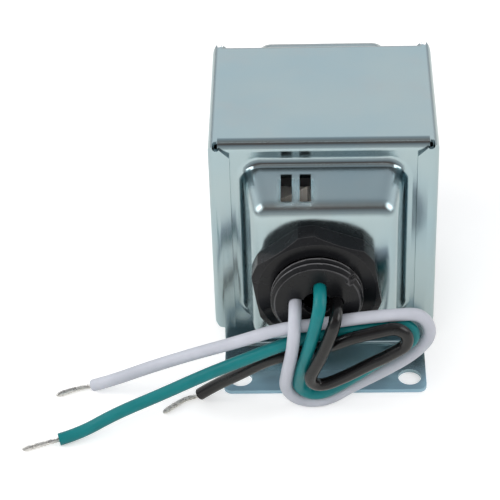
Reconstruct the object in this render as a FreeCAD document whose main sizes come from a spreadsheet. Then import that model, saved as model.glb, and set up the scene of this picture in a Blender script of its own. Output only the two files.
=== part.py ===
import FreeCAD, Part
import math
import os

import Sketcher

# A hard-wired chime transformer in a folded steel case.
# Millimetres, +Z up, the nipple with its leads faces -Y.
# X = Y = 0 is the middle of the four foot holes, Z = 0 the underside of the feet.

os.makedirs("parts", exist_ok=True)
doc = FreeCAD.newDocument("ChimeTransformer")
sheet = doc.addObject("Spreadsheet::Sheet", "Sizes")

SIZES = {
    # folded case
    "case_width": 53.6,
    "case_depth": 44.5,
    "case_height": 62.0,
    "steel": 1.0,
    "skirt_height": 7.5,
    "corner_bend": 2.5,
    "side_bend": 2.75,
    "front_bend": 2.5,
    "flap_share": 0.8134,
    "flap_gap": 0.1,
    "mitre_drop": 3.5,
    "relief_radius": 0.8,
    "flap_chamfer": 1.0,
    # feet
    "foot_share": 0.9142,
    "foot_reach": 16.0,
    "foot_bend": 1.0,
    "foot_corner": 2.0,
    "foot_hole_radius": 2.8,
    "foot_hole_side": 4.0,
    "foot_hole_end": 4.5,
    # drawn bulges
    "bulge_reach": 13.4,
    "bulge_root_share": 0.7164,
    "bulge_root_low_share": 0.1774,
    "bulge_root_high_share": 0.9113,
    "bulge_face_share": 0.6157,
    "bulge_face_low_share": 0.221,
    "bulge_face_high_share": 0.8629,
    "bulge_corner": 4.5,
    "bulge_front_bend": 3.4,
    "bulge_root_bend": 2.0,
    "bulge_wall_shift": 0.83,
    # two slots in the front bulge
    "slot_left": 9.9,
    "slot_right": 2.95,
    "slot_strap_left": 7.35,
    "slot_strap_right": 5.55,
    "slot_start": 2.55,
    "slot_reach": 10.8,
    # nipple and locknut
    "nipple_x": -1.85,
    "nipple_rise": 0.05,
    "thread_share": 0.3227,
    "hole_clearance": 0.25,
    "nipple_reach": 9.25,
    "bore_share": 0.7887,
    "end_wall": 2.0,
    "end_chamfer": 0.9,
    "flange_overhang": 1.05,
    "flange_thickness": 2.0,
    "notch_width": 1.6,
    "notch_length": 3.6,
    "notch_angle": 38.5,
    "trefoil_hub_radius": 3.3,
    "lobe_gap": 0.25,
    "nut_wall": 3.65,
    "nut_corner_wall": 4.85,
    "nut_thickness": 5.25,
    "nut_chamfer_slope": 1.75,
    "nut_turn": 38.5,
    # leads
    "lead_diameter": 3.0,
    "strand_diameter": 1.2,
    "fine_wire_diameter": 0.6,
    "secondary_wire_diameter": 0.9,
    "splice_diameter": 4.0,
    "splice_length": 9.0,
    # core
    "core_play": 0.1,
    "leg_share": 0.3327,
    "window_share": 0.1654,
    "yoke_height": 8.55,
    "stack_clearance": 3.15,
    "core_headroom": 5.9,
    "core_low": 12.4,
    "core_hole_inset": 4.4,
    "core_hole_radius": 1.8,
    # bottom plate
    "pan_end_play": 0.25,
    "pan_lip": 4.4,
    "pan_step_share": 0.5447,
    # coil
    "bobbin_clearance": 0.1,
    "bobbin_wall": 0.75,
    "bobbin_flange": 1.0,
    "bobbin_play": 0.05,
    "bobbin_flange_reach": 8.2,
    "primary_share": 0.353,
    "barrier_build": 0.3,
    "secondary_share": 0.294,
    "tape_build": 0.4,
    "winding_corner": 0.5,
    "wire_notch": 1.6,
    # small inside pieces
    "cutoff_width": 9.0,
    "cutoff_height": 5.0,
    "cutoff_thickness": 1.05,
    "cutoff_drop": 3.75,
    "cutoff_left": -1.0,
    "paper_thickness": 0.3,
    "paper_rise": 1.05,
    "paper_inset": 1.95,
    "paper_right": -3.8,
    "paper_headroom": 9.5,
    "paper_slant": 6.5,
    "ring_radius": 3.4,
    "ring_hole_radius": 1.9,
    "ring_thickness": 0.8,
    "tongue_width": 3.0,
    "barrel_radius": 1.7,
    "barrel_length": 4.5,
    "ground_head_radius": 3.0,
    "ground_head_height": 2.0,
    "ground_screw_length": 10.0,
    # secondary terminals at the back
    "block_overhang": 0.5,
    "block_height": 18.0,
    "block_thickness": 5.0,
    "block_corner": 1.5,
    "rib_height": 3.5,
    "rib_thickness": 1.5,
    "terminal_spacing": 16.0,
    "plate_size": 9.0,
    "plate_thickness": 0.8,
    "tab_width": 3.0,
    "tab_drop": 5.2,
    "tab_play": 0.1,
    "tab_clearance": 4.8,
    "back_opening_inset": 4.0,
    "back_opening_height": 6.0,
    "terminal_head_radius": 3.4,
    "terminal_head_height": 2.2,
    "terminal_screw_radius": 1.6,
    "terminal_screw_length": 4.5,
    "screw_slot_width": 0.9,
    "screw_slot_depth": 0.9,
}

# Middle lines of the leads and wires. Each is a list of points joined by straight runs
# and tangent arcs, in groups: the points of a group are measured from its anchor.
# Every lead starts at its splice or terminal inside the case, passes the nipple,
# drops in front of it, turns over to the right in one loop and runs out to the left.
LEAD_WHITE = [
    ("coil_front", [
        (-6.9, -3.4, 4.05)]),
    ("nipple", [
        (-5.05, 16.3, -0.65), (-5.0, 5.4, -0.35), (-5.05, -5.8, 0.05), (-5.65, -5.5, -9.15),
        (-7.05, -2.8, -18.15), (-7.95, 0.3, -26.25), (-4.45, 2.2, -32.05), (2.35, 2.3, -32.05),
        (8.45, 1.7, -26.75), (15.45, 0.9, -21.65), (22.75, 0.3, -15.65), (26.75, 0.0, -9.55),
        (24.15, -1.1, -2.35), (17.35, -2.3, -1.75), (9.35, -2.1, -2.75), (0.85, -1.9, -4.55),
        (-8.65, -1.9, -5.85), (-18.65, -0.5, -11.05), (-29.15, 1.5, -16.25), (-40.15, 4.3, -22.85),
        (-49.65, 7.0, -29.35), (-54.35, 8.4, -32.05)]),
]
LEAD_GREEN = [
    ("ground", [
        (-12.8, -3.5, -0.1), (-19.3, -6.2, -0.1)]),
    ("nipple", [
        (0.75, 16.3, 12.35), (0.5, 15.9, 3.95), (0.5, 5.4, 4.05), (0.85, -6.3, 4.85),
        (-1.05, -6.3, -4.65), (-3.15, -4.7, -13.85), (-4.45, -0.7, -22.85), (-4.35, 1.0, -26.75),
        (-1.55, 1.5, -29.25), (2.45, 0.9, -28.05), (8.85, -0.7, -21.55), (14.45, -1.6, -16.05),
        (17.35, -1.7, -13.75), (19.95, -1.7, -11.65), (22.15, -1.7, -9.75), (22.25, -1.7, -6.85),
        (20.05, -1.6, -4.85), (17.15, -1.6, -5.25), (12.85, -1.6, -5.85), (8.35, -1.7, -6.45),
        (0.85, -1.6, -7.75), (-7.65, -1.6, -10.75), (-16.65, -1.8, -15.05), (-26.65, -2.4, -19.55),
        (-37.15, -4.2, -24.05), (-47.65, -6.9, -27.35), (-56.15, -9.1, -31.55),
        (-61.05, -10.6, -32.05)]),
]
LEAD_BLACK = [
    ("coil_front", [
        (2.6, -3.4, 4.05)]),
    ("nipple", [
        (4.45, 16.3, -0.65), (4.45, 5.4, -0.45), (4.45, -7.3, 1.65), (2.35, -7.4, -5.55),
        (0.05, -7.0, -12.05), (-2.25, -5.8, -18.35), (0.65, -4.5, -21.45), (6.45, -4.4, -18.55),
        (12.45, -4.7, -14.25), (15.25, -4.8, -12.55), (17.95, -4.8, -10.65), (20.55, -4.8, -8.75),
        (20.65, -4.8, -5.55), (18.05, -4.8, -3.55), (14.95, -4.7, -4.45), (11.45, -4.7, -5.45),
        (7.65, -4.9, -6.45), (3.95, -4.5, -8.65), (-0.55, -2.0, -12.25), (-4.65, -0.6, -14.65),
        (-11.15, -0.1, -16.55), (-18.65, 2.0, -23.25), (-24.65, 4.2, -28.65),
        (-28.35, 4.9, -32.05)]),
]
# Bare tinned strands: they carry on from the insulation and bend down to the floor.
STRAND_WHITE = [
    ("nipple", [
        (-54.35, 8.4, -32.05), (-55.29, 8.68, -32.59), (-57.45, 8.3, -32.7), (-60.15, 7.4, -32.8),
        (-63.25, 5.9, -33.0)]),
]
STRAND_GREEN = [
    ("nipple", [
        (-61.05, -10.6, -32.05), (-62.03, -10.9, -32.15), (-64.15, -11.4, -32.4),
        (-66.85, -12.1, -32.75), (-69.65, -12.9, -33.0)]),
]
STRAND_BLACK = [
    ("nipple", [
        (-28.35, 4.9, -32.05), (-29.3, 5.08, -32.92), (-31.45, 4.5, -32.95), (-34.05, 2.5, -32.97),
        (-37.05, -0.6, -33.0)]),
]
# Fine wires from the splices and from the terminal tabs to the windings.
PRIMARY_START = [
    ("coil_front", [
        (-6.9, -3.4, -4.95), (-6.9, -3.4, -6.15), (-6.8, -1.3, -6.65), (-6.9, 2.6, -6.05),
        (-6.9, 5.3, -3.95), (-6.9, 5.9, -1.35), (-6.9, 5.9, 1.05)]),
]
PRIMARY_FINISH = [
    ("coil_front", [
        (2.6, -3.4, -4.95), (2.6, -3.4, -6.15), (2.7, -1.3, -6.65), (2.6, 2.6, -6.05),
        (2.6, 5.3, -3.95), (2.6, 5.9, -1.35), (2.6, 5.9, 1.05)]),
]
SECONDARY_LEFT = [
    ("tab", [
        (-8.0, 0.0, 0.0), (-8.0, -1.4, 0.0), (-8.1, -2.5, -1.85)]),
    ("coil_back", [
        (-8.0, 2.1, 1.65), (-7.9, 1.0, -2.05), (-8.0, -1.6, -3.65), (-8.0, -3.3, -1.75),
        (-8.0, -3.3, 1.05)]),
]
SECONDARY_RIGHT = [
    ("tab", [
        (8.0, 0.0, 0.0), (8.0, -1.4, 0.0), (8.1, -2.5, -1.85)]),
    ("coil_back", [
        (8.0, 2.1, 1.65), (7.9, 1.0, -2.05), (8.0, -1.6, -3.65), (8.0, -3.3, -1.75),
        (8.0, -3.3, 1.05)]),
]
RUN_SHARE = 0.45

for row, (name, value) in enumerate(SIZES.items(), 1):
    sheet.set(f"A{row}", name)
    sheet.set(f"B{row}", str(value))
    sheet.setAlias(f"B{row}", name)
doc.recompute()


class Term:
    """A length together with the sheet expression that gives it."""

    def __init__(self, value, text):
        self.value = value
        self.text = text

    def joined(self, sign, other, value):
        text = other.text if isinstance(other, Term) else f"({float(other)})"
        return Term(value, f"({self.text} {sign} {text})")

    def __add__(self, other):
        return self.joined("+", other, self.value + float(other))

    def __sub__(self, other):
        return self.joined("-", other, self.value - float(other))

    def __mul__(self, other):
        return self.joined("*", other, self.value * float(other))

    def __truediv__(self, other):
        return self.joined("/", other, self.value / float(other))

    def __neg__(self):
        return self * -1

    def __float__(self):
        return self.value


def size(name):
    return Term(float(sheet.get(name)), f"Sizes.{name}")


def bind(obj, prop, term):
    """Give a property its value and tie it to the sheet."""
    if isinstance(term, Term):
        obj.setExpression(prop, term.text)
    else:
        obj.setExpression(prop, str(float(term)))


def place(obj, x, y, z):
    for axis, term in (("x", x), ("y", y), ("z", z)):
        bind(obj, f"Placement.Base.{axis}", term)


def finish(obj, label):
    obj.Label = label
    doc.recompute()
    return obj


def box(name, x, y, z):
    """A block between a low and a high term on each axis."""
    block = doc.addObject("Part::Box", name)
    for prop, (low, high) in (("Length", x), ("Width", y), ("Height", z)):
        bind(block, prop, high - low)
    place(block, x[0], y[0], z[0])
    doc.recompute()
    return block


def rod(name, radius, x, z, y):
    """A cylinder along Y between two terms of y."""
    cylinder = doc.addObject("Part::Cylinder", name)
    bind(cylinder, "Radius", radius)
    bind(cylinder, "Height", y[1] - y[0])
    cylinder.Placement.Rotation = FreeCAD.Rotation(FreeCAD.Vector(1, 0, 0), -90)
    place(cylinder, x, y[0], z)
    doc.recompute()
    return cylinder


def post(name, radius, x, y, z):
    """A cylinder along Z between two terms of z."""
    cylinder = doc.addObject("Part::Cylinder", name)
    bind(cylinder, "Radius", radius)
    bind(cylinder, "Height", z[1] - z[0])
    place(cylinder, x, y, z[0])
    doc.recompute()
    return cylinder


def fuse(name, shapes):
    joined = doc.addObject("Part::MultiFuse", name)
    joined.Shapes = shapes
    joined.Refine = True
    doc.recompute()
    return joined


def cut(name, base, tool):
    result = doc.addObject("Part::Cut", name)
    result.Base = base
    result.Tool = tool
    result.Refine = True
    doc.recompute()
    return result


def common(name, shapes):
    result = doc.addObject("Part::MultiCommon", name)
    result.Shapes = shapes
    doc.recompute()
    return result


def mirrored(name, source):
    """The same shape on the other side of the middle plane between front and back."""
    twin = doc.addObject("Part::Mirroring", name)
    twin.Source = source
    twin.Normal = FreeCAD.Vector(0, 1, 0)
    doc.recompute()
    return twin


def rounded(name, base, radius, choose):
    """Round the edges that choose(edge) gives a share of the radius for."""
    result = doc.addObject("Part::Fillet", name)
    result.Base = base
    edges = []
    for number, edge in enumerate(base.Shape.Edges, 1):
        share = choose(edge)
        if share:
            edges.append((number, float(radius) * share, float(radius) * share))
    result.Edges = edges
    doc.recompute()
    return result


def runs_along(edge, direction):
    first, last = edge.Vertexes[0].Point, edge.Vertexes[-1].Point
    run = last - first
    return run.Length > 0 and abs(abs(run.dot(direction)) - run.Length) < 1e-6 * run.Length


# An edge less than this from a face counts as lying on it, in mm.
NEAR = 0.1
X = FreeCAD.Vector(1, 0, 0)
Y = FreeCAD.Vector(0, 1, 0)
Z = FreeCAD.Vector(0, 0, 1)


def outline(body, plane, name, points):
    """A closed sketch through points, each tied to the sheet on both axes."""
    sketch = body.newObject("Sketcher::SketchObject", name)
    origin = [item for item in body.Origin.OriginFeatures if item.Role == plane][0]
    sketch.AttachmentSupport = [(origin, "")]
    sketch.MapMode = "FlatFace"
    corners = [FreeCAD.Vector(float(a), float(b), 0) for a, b in points]
    for start, end in zip(corners, corners[1:] + corners[:1]):
        sketch.addGeometry(Part.LineSegment(start, end), False)
    count = len(points)
    for index in range(count):
        sketch.addConstraint(Sketcher.Constraint("Coincident", index, 2, (index + 1) % count, 1))
    for index, (a, b) in enumerate(points):
        for kind, term in (("DistanceX", a), ("DistanceY", b)):
            number = sketch.addConstraint(Sketcher.Constraint(kind, -1, 1, index, 1, float(term)))
            bind(sketch, f"Constraints[{number}]", term)
    doc.recompute()
    return sketch


def padded(name, plane, points, length):
    """A body: a closed outline padded to both sides of its plane."""
    body = doc.addObject("PartDesign::Body", name)
    sketch = outline(body, plane, f"{name}_outline", points)
    pad = body.newObject("PartDesign::Pad", f"{name}_pad")
    pad.Profile = sketch
    pad.Midplane = True
    bind(pad, "Length", length)
    doc.recompute()
    return body


def polyline_with_arcs(corners):
    """Straight runs joined by tangent arcs that use a share of the shorter run."""
    edges = []
    radii = []
    start = corners[0]
    for before, corner, after in zip(corners, corners[1:], corners[2:]):
        back = (before - corner).normalize()
        ahead = (after - corner).normalize()
        reach = RUN_SHARE * min((before - corner).Length, (after - corner).Length)
        enter = corner + back * reach
        leave = corner + ahead * reach
        half = back.getAngle(ahead) / 2
        middle_way = (back + ahead).normalize()
        radius = reach * math.tan(half)
        middle = corner + middle_way * (reach / math.cos(half) - radius)
        edges.append(Part.makeLine(start, enter))
        edges.append(Part.Arc(enter, middle, leave).toShape())
        radii.append(radius)
        start = leave
    edges.append(Part.makeLine(start, corners[-1]))
    return Part.Wire(edges), radii


def wire(label, route, diameter):
    """A round wire swept along its middle line."""
    points = located(route)
    path, radii = polyline_with_arcs(points)
    start, way = points[0], points[1] - points[0]
    circle = Part.Wire(Part.makeCircle(float(diameter) / 2, start, way))
    swept = path.makePipeShell([circle], True, False)
    full = math.pi * (float(diameter) / 2) ** 2 * path.Length
    print(f"{label}: length {path.Length:.1f}, volume {swept.Volume / full:.3f} of section x length")
    print(f"{label}: arc radii", ", ".join(f"{radius:.1f}" for radius in radii))
    piece = doc.addObject("Part::Feature", label)
    piece.Shape = swept
    piece.Placement = FreeCAD.Placement()
    return finish(piece, label)


# Lengths that follow from the case: each is measured from the middle planes.
width, depth, height = size("case_width"), size("case_depth"), size("case_height")
steel = size("steel")
skirt = size("skirt_height")
zero = steel * 0
wall_out = depth / 2 - steel - size("flap_gap")
wall_in = wall_out - steel
foot_half = width * size("foot_share") / 2
foot_end = depth / 2 + size("foot_reach")
flap_edge = width * size("flap_share") / 2
bulge_out = depth / 2 + size("bulge_reach")
bulge_in = bulge_out - steel
root_half = width * size("bulge_root_share") / 2
root_low = height * size("bulge_root_low_share")
root_high = height * size("bulge_root_high_share")
face_half = width * size("bulge_face_share") / 2
face_low = height * size("bulge_face_low_share")
face_high = height * size("bulge_face_high_share")
# The nipple sits in the middle of the bulge's face and takes its size from it.
thread_radius = face_half * 2 * size("thread_share")
nipple_x = size("nipple_x")
nipple_z = (face_low + face_high) / 2 + size("nipple_rise")
nipple_front = bulge_out + size("nipple_reach")
# The core fills the case from side to side; the coil fills the core's windows.
core_half = width / 2 - steel - size("core_play")
leg_half = core_half * size("leg_share")
window = core_half * 2 * size("window_share")
stack_half = wall_in - size("stack_clearance")
core_low = size("core_low")
core_joint = core_low + size("yoke_height")
core_top = height - steel - size("core_headroom")
core_crown = core_top - size("yoke_height")
flange_x = leg_half + window - size("bobbin_clearance")
flange_y = stack_half + size("bobbin_flange_reach")
tab_end = flange_y + size("tab_clearance")
tab_middle = nipple_z - size("tab_drop")
block_half = face_half + size("block_overhang")
hole_inset = size("core_hole_inset")

# Anchors of the leads and wires.
ANCHORS = {
    "nipple": (nipple_x, -nipple_front, nipple_z),
    "ground": (core_half - hole_inset, -stack_half, core_top - hole_inset),
    "coil_front": (zero, -flange_y, core_joint),
    "coil_back": (zero, flange_y, core_joint),
    "tab": (zero, tab_end, tab_middle),
}


def located(route):
    """The points of a route, moved to where its anchors are."""
    points = []
    for anchor, offsets in route:
        home = FreeCAD.Vector(*[float(term) for term in ANCHORS[anchor]])
        points += [home + FreeCAD.Vector(*offset) for offset in offsets]
    return points


def cover():
    """Top and side walls with the flaps that fold round the four corners."""
    outer = box("cover_outer", (-width / 2, width / 2), (-depth / 2, depth / 2), (skirt, height))

    def outer_share(edge):
        high = edge.CenterOfMass.z > float(height) - NEAR
        if runs_along(edge, Y) and high:
            return float(size("side_bend")) / float(size("corner_bend"))
        return 1 if runs_along(edge, Z) else 0

    def inner_share(edge):
        high = edge.CenterOfMass.z > float(height - steel) - NEAR
        if runs_along(edge, Y) and high:
            return float(size("side_bend") - steel) / float(size("corner_bend") - steel)
        return 1 if runs_along(edge, Z) else 0

    outer = rounded("cover_outer_bent", outer, size("corner_bend"), outer_share)
    inside_x, inside_y = width / 2 - steel, depth / 2 - steel
    inner = box("cover_inner", (-inside_x, inside_x), (-inside_y, inside_y),
                (skirt - steel, height - steel))
    inner = rounded("cover_inner_bent", inner, size("corner_bend") - steel, inner_share)
    shell = cut("cover_shell", outer, inner)
    between = box("flap_window", (-flap_edge, flap_edge), (-depth, -wall_out),
                  (zero, height + steel))
    top_end = box("top_end", (-foot_half, foot_half), (-wall_out, size("front_bend") - wall_out),
                  (height - size("front_bend"), height + steel))
    tools = [between, top_end] + mitre_tools(flap_edge)
    front = fuse("cover_front_tools", tools)
    back = mirrored("cover_back_tools", front)
    return cut("cover", shell, fuse("cover_tools", [front, back]))


def mitre_tools(opening):
    """Above its 45 degree edge each flap is gone; a round relief hole ends the fold."""
    tools = []
    rise = width / 2 - opening + steel
    low = height - size("mitre_drop")
    for side, sign in (("left", -1), ("right", 1)):
        corner = [(opening * sign, low), ((opening + rise) * sign, low + rise),
                  (opening * sign, low + rise)]
        wedge = padded(f"mitre_{side}", "XZ_Plane", corner, steel * 3)
        place(wedge, zero, -wall_out - steel * 1.5, zero)
        tools.append(wedge)
        tools.append(rod(f"relief_{side}", size("relief_radius"),
                         (opening + size("mitre_drop") - size("relief_radius") / 2) * sign,
                         height - size("relief_radius"), (-depth / 2 - steel, -wall_in)))
        skirt_corner = [(width / 2 * sign, skirt), (width / 2 * sign, skirt + size("flap_chamfer")),
                        ((width / 2 - size("flap_chamfer")) * sign, skirt)]
        tools.append(padded(f"chamfer_{side}", "XZ_Plane", skirt_corner, depth + steel))
    return tools


def strap():
    """Front plate, top and back plate in one band, folded out into two feet."""
    reach = foot_end
    points = [(-reach, zero), (-reach, steel), (-wall_out, steel), (-wall_out, height),
              (wall_out, height), (wall_out, steel), (reach, steel), (reach, zero),
              (wall_in, zero), (wall_in, height - steel), (-wall_in, height - steel),
              (-wall_in, zero)]
    band = padded("band", "YZ_Plane", points, foot_half * 2)

    def bend_share(edge):
        if not runs_along(edge, X):
            return 0
        place_y, place_z = abs(edge.CenterOfMass.y), edge.CenterOfMass.z
        at_outer = abs(place_y - float(wall_out)) < 1e-6
        at_inner = abs(place_y - float(wall_in)) < 1e-6
        top, foot = float(size("front_bend")), float(size("foot_bend"))
        if place_z > float(height) / 2:
            return top * at_outer + (top - float(steel)) * at_inner
        return foot * at_outer + (foot + float(steel)) * at_inner

    band = rounded("band_bent", band, 1, bend_share)

    def foot_share(edge):
        return int(runs_along(edge, Z) and abs(edge.CenterOfMass.y) > float(reach) - NEAR)

    return rounded("band_with_feet", band, size("foot_corner"), foot_share)


def drawn_form(name, inward):
    """The form that the front plate is drawn over: a tapered block on a flat bed."""
    shift = size("bulge_wall_shift") * inward
    bed_y, face_y = inward - wall_out, inward - bulge_out
    root, face = root_half - shift, face_half - shift
    wedge = doc.addObject("Part::Wedge", f"{name}_taper")
    ends = (("Ymin", face_y), ("Ymax", bed_y + steel / 2), ("Xmin", -face), ("Xmax", face),
            ("Zmin", face_low + shift), ("Zmax", face_high - shift),
            ("X2min", -root), ("X2max", root),
            ("Z2min", root_low + shift), ("Z2max", root_high - shift))
    for prop, term in ends:
        bind(wedge, prop, term)
    doc.recompute()
    corner, front = float(size("bulge_corner") - inward), float(size("bulge_front_bend") - inward)

    def share(edge):
        middle = edge.CenterOfMass.y
        if abs(middle - float(face_y)) < 1e-6:
            return front
        return corner if abs(middle - float(bed_y + steel / 2)) > 1e-6 else 0

    block = rounded(f"{name}_block", wedge, 1, share)
    bed_x = foot_half - steel
    bed = box(f"{name}_bed", (-bed_x, bed_x), (bed_y, bed_y + steel),
              (skirt, height - size("front_bend")))
    joined = fuse(f"{name}_joined", [block, bed])
    bend = size("bulge_root_bend") + inward

    def root_share(edge):
        inside = abs(edge.CenterOfMass.x) < float(bed_x) - NEAR
        low, high = float(skirt) + NEAR, float(height - size("front_bend")) - NEAR
        on_bed = all(abs(vertex.Y - float(bed_y)) < 1e-6 for vertex in edge.Vertexes)
        return int(on_bed and inside and low < edge.CenterOfMass.z < high)

    return rounded(f"{name}_form", joined, bend, root_share)


def slots():
    """Two slots side by side through the upper slope of the front bulge."""
    y = (-depth / 2 - size("slot_reach"), -depth / 2 - size("slot_start"))
    z = (nipple_z + thread_radius + steel, root_high + steel)
    left = box("slot_left_cut", (-size("slot_left"), -size("slot_strap_left")), y, z)
    right = box("slot_right_cut", (-size("slot_strap_right"), -size("slot_right")), y, z)
    return [left, right]


def foot_holes():
    holes = []
    for name, sx, sy in (("a", -1, -1), ("b", 1, -1), ("c", -1, 1), ("d", 1, 1)):
        holes.append(post(f"foot_hole_{name}", size("foot_hole_radius"),
                          (foot_half - size("foot_hole_side")) * sx,
                          (foot_end - size("foot_hole_end")) * sy, (-steel, steel * 2)))
    return holes


def case():
    """The folded case: cover, band and the two drawn bulges as one sheet."""
    outer = drawn_form("draw_outer", zero)
    inner = drawn_form("draw_inner", steel)
    sheet_metal = fuse("case_sheet", [strap(), outer, mirrored("draw_outer_back", outer)])
    nipple_hole = rod("nipple_hole", thread_radius + size("hole_clearance"),
                      nipple_x, nipple_z, (-bulge_out - steel, -wall_in))
    half = block_half - size("back_opening_inset")
    reach = size("back_opening_height") / 2
    back_opening = box("back_opening", (-half, half), (bulge_in - steel, bulge_out + steel),
                       (tab_middle - reach, tab_middle + reach))
    cavities = fuse("cavities", [inner, mirrored("draw_inner_back", inner)])
    drawn = cut("case_drawn", sheet_metal, cavities)
    holes = fuse("case_holes", [nipple_hole, back_opening] + slots() + foot_holes())
    pierced = cut("case_pierced", drawn, holes)
    return finish(fuse("case", [cover(), pierced]), "case")


def bottom_plate():
    """A pan between the side walls; its raised middle carries the core."""
    half, step = core_half, core_half * size("pan_step_share")
    lip, low, high = skirt + size("pan_lip"), skirt, core_low
    points = [(-half, low), (-half, lip), (steel - half, lip), (steel - half, low + steel),
              (-step, low + steel), (-step, high), (step, high), (step, low + steel),
              (half - steel, low + steel), (half - steel, lip), (half, lip), (half, low),
              (step - steel, low), (step - steel, high - steel),
              (steel - step, high - steel), (steel - step, low)]
    length = (wall_in - size("pan_end_play")) * 2
    return finish(padded("bottom_plate", "XZ_Plane", points, length), "bottom_plate")


def nipple():
    """Threaded nipple with a flange behind the wall and a trefoil opening in its end."""
    radius, front = thread_radius, nipple_front
    tube = rod("nipple_tube", radius, nipple_x, nipple_z, (-front, -bulge_in))

    def end_share(edge):
        return int(edge.Curve.TypeId == "Part::GeomCircle"
                   and abs(edge.CenterOfMass.y + float(front)) < 1e-6)

    chamfered = doc.addObject("Part::Chamfer", "nipple_chamfered")
    chamfered.Base = tube
    chamfer = float(size("end_chamfer"))
    chamfered.Edges = [(number, chamfer, chamfer)
                       for number, edge in enumerate(tube.Shape.Edges, 1) if end_share(edge)]
    doc.recompute()
    flange_back = size("flange_thickness") - bulge_in
    flange = rod("nipple_flange", radius + size("flange_overhang"), nipple_x, nipple_z,
                 (-bulge_in, flange_back))
    bore = rod("nipple_bore", radius * size("bore_share"), nipple_x, nipple_z,
               (size("end_wall") - front, flange_back + steel))
    openings = [bore, notch(radius, front)] + trefoil(front)
    solid = fuse("nipple_solid", [chamfered, flange])
    return finish(cut("nipple", solid, fuse("nipple_openings", openings)), "nipple")


def notch(radius, front):
    """An axial notch across the thread, up and to the right."""
    half = size("notch_width") / 2
    cutter = doc.addObject("Part::Box", "nipple_notch")
    bind(cutter, "Length", steel * 3)
    bind(cutter, "Width", size("notch_length") + steel)
    bind(cutter, "Height", half * 2)
    angle = math.radians(float(size("notch_angle")))
    cutter.Placement.Rotation = FreeCAD.Rotation(Y, -float(size("notch_angle")))
    inner = radius - steel
    place(cutter, nipple_x + inner * math.cos(angle) + half * math.sin(angle), -front - steel,
          nipple_z + inner * math.sin(angle) - half * math.cos(angle))
    doc.recompute()
    return cutter


def trefoil(front):
    """One lobe for each lead, joined by a round hub."""
    reach = (-front - steel, size("end_wall") - front + steel)
    lobe = size("lead_diameter") / 2 + size("lobe_gap")
    places = (("white", LEAD_WHITE), ("green", LEAD_GREEN), ("black", LEAD_BLACK))
    parts = [rod("trefoil_hub", size("trefoil_hub_radius"), nipple_x, nipple_z, reach)]
    for colour, route in places:
        x, z = crossing(located(route), float(size("end_wall")) / 2 - float(front))
        parts.append(rod(f"trefoil_{colour}", lobe, zero + x, zero + z, reach))
    return parts


def crossing(points, y):
    """Where the middle line first passes a plane of constant y on its way out."""
    for start, end in zip(points, points[1:]):
        if start.y >= y > end.y:
            passed = start + (end - start) * ((y - start.y) / (end.y - start.y))
            return passed.x, passed.z
    raise ValueError("the lead does not pass the plane")


def locknut():
    """Hexagon nut with turned corners and a chamfered front."""
    front = -bulge_out - size("nut_thickness")
    flat = thread_radius + size("nut_wall")
    prism = doc.addObject("Part::Prism", "nut_hexagon")
    prism.Polygon = 6
    bind(prism, "Circumradius", flat / math.cos(math.pi / 6))
    bind(prism, "Height", size("nut_thickness"))
    turned = FreeCAD.Rotation(X, -90).multiply(FreeCAD.Rotation(Z, -float(size("nut_turn"))))
    prism.Placement.Rotation = turned
    place(prism, nipple_x, front, nipple_z)
    limit = rod("nut_corner_limit", thread_radius + size("nut_corner_wall"), nipple_x, nipple_z,
                (front, -bulge_out))
    cone = doc.addObject("Part::Cone", "nut_cone")
    bind(cone, "Radius1", flat - steel / 2)
    bind(cone, "Radius2", flat - steel / 2 + size("nut_thickness") * size("nut_chamfer_slope"))
    bind(cone, "Height", size("nut_thickness"))
    cone.Placement.Rotation = FreeCAD.Rotation(X, -90)
    place(cone, nipple_x, front, nipple_z)
    doc.recompute()
    form = common("nut_form", [prism, limit, cone])
    bore = rod("nut_bore", thread_radius, nipple_x, nipple_z,
               (front - steel, steel - bulge_out))
    return finish(cut("locknut", form, bore), "locknut")


def leads():
    lead, strand = size("lead_diameter"), size("strand_diameter")
    wire("lead_white", LEAD_WHITE, lead)
    wire("lead_green", LEAD_GREEN, lead)
    wire("lead_black", LEAD_BLACK, lead)
    wire("tinned_end_white", STRAND_WHITE, strand)
    wire("tinned_end_green", STRAND_GREEN, strand)
    wire("tinned_end_black", STRAND_BLACK, strand)
    wire("primary_wire_start", PRIMARY_START, size("fine_wire_diameter"))
    wire("primary_wire_finish", PRIMARY_FINISH, size("fine_wire_diameter"))
    wire("secondary_wire_left", SECONDARY_LEFT, size("secondary_wire_diameter"))
    wire("secondary_wire_right", SECONDARY_RIGHT, size("secondary_wire_diameter"))


def splice(label, route):
    """A crimped sleeve below the inner end of a lead."""
    x, y, top = located(route)[0]
    sleeve = post(label, size("splice_diameter") / 2, zero + x, zero + y,
                  (zero + top - size("splice_length"), zero + top))
    return finish(sleeve, label)


def core():
    """E and I laminations, stacked along Y and pierced at the four corners."""
    leg, outer, joint, crown = leg_half, core_half, core_joint, core_crown
    e_points = [(-outer, core_top), (outer, core_top), (outer, joint), (leg + window, joint),
                (leg + window, crown), (leg, crown), (leg, joint), (-leg, joint), (-leg, crown),
                (-leg - window, crown), (-leg - window, joint), (-outer, joint)]
    i_points = [(-outer, joint), (outer, joint), (outer, core_low), (-outer, core_low)]
    radius = size("core_hole_radius")
    through = (-stack_half * 2, stack_half * 2)
    for label, points, z in (("core_e_laminations", e_points, core_top - hole_inset),
                             ("core_i_laminations", i_points, core_low + hole_inset)):
        stack = padded(f"{label}_stack", "XZ_Plane", points, stack_half * 2)
        holes = [rod(f"{label}_hole_{side}", radius, (outer - hole_inset) * sign, z, through)
                 for side, sign in (("left", -1), ("right", 1))]
        finish(cut(label, stack, fuse(f"{label}_holes", holes)), label)


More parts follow.
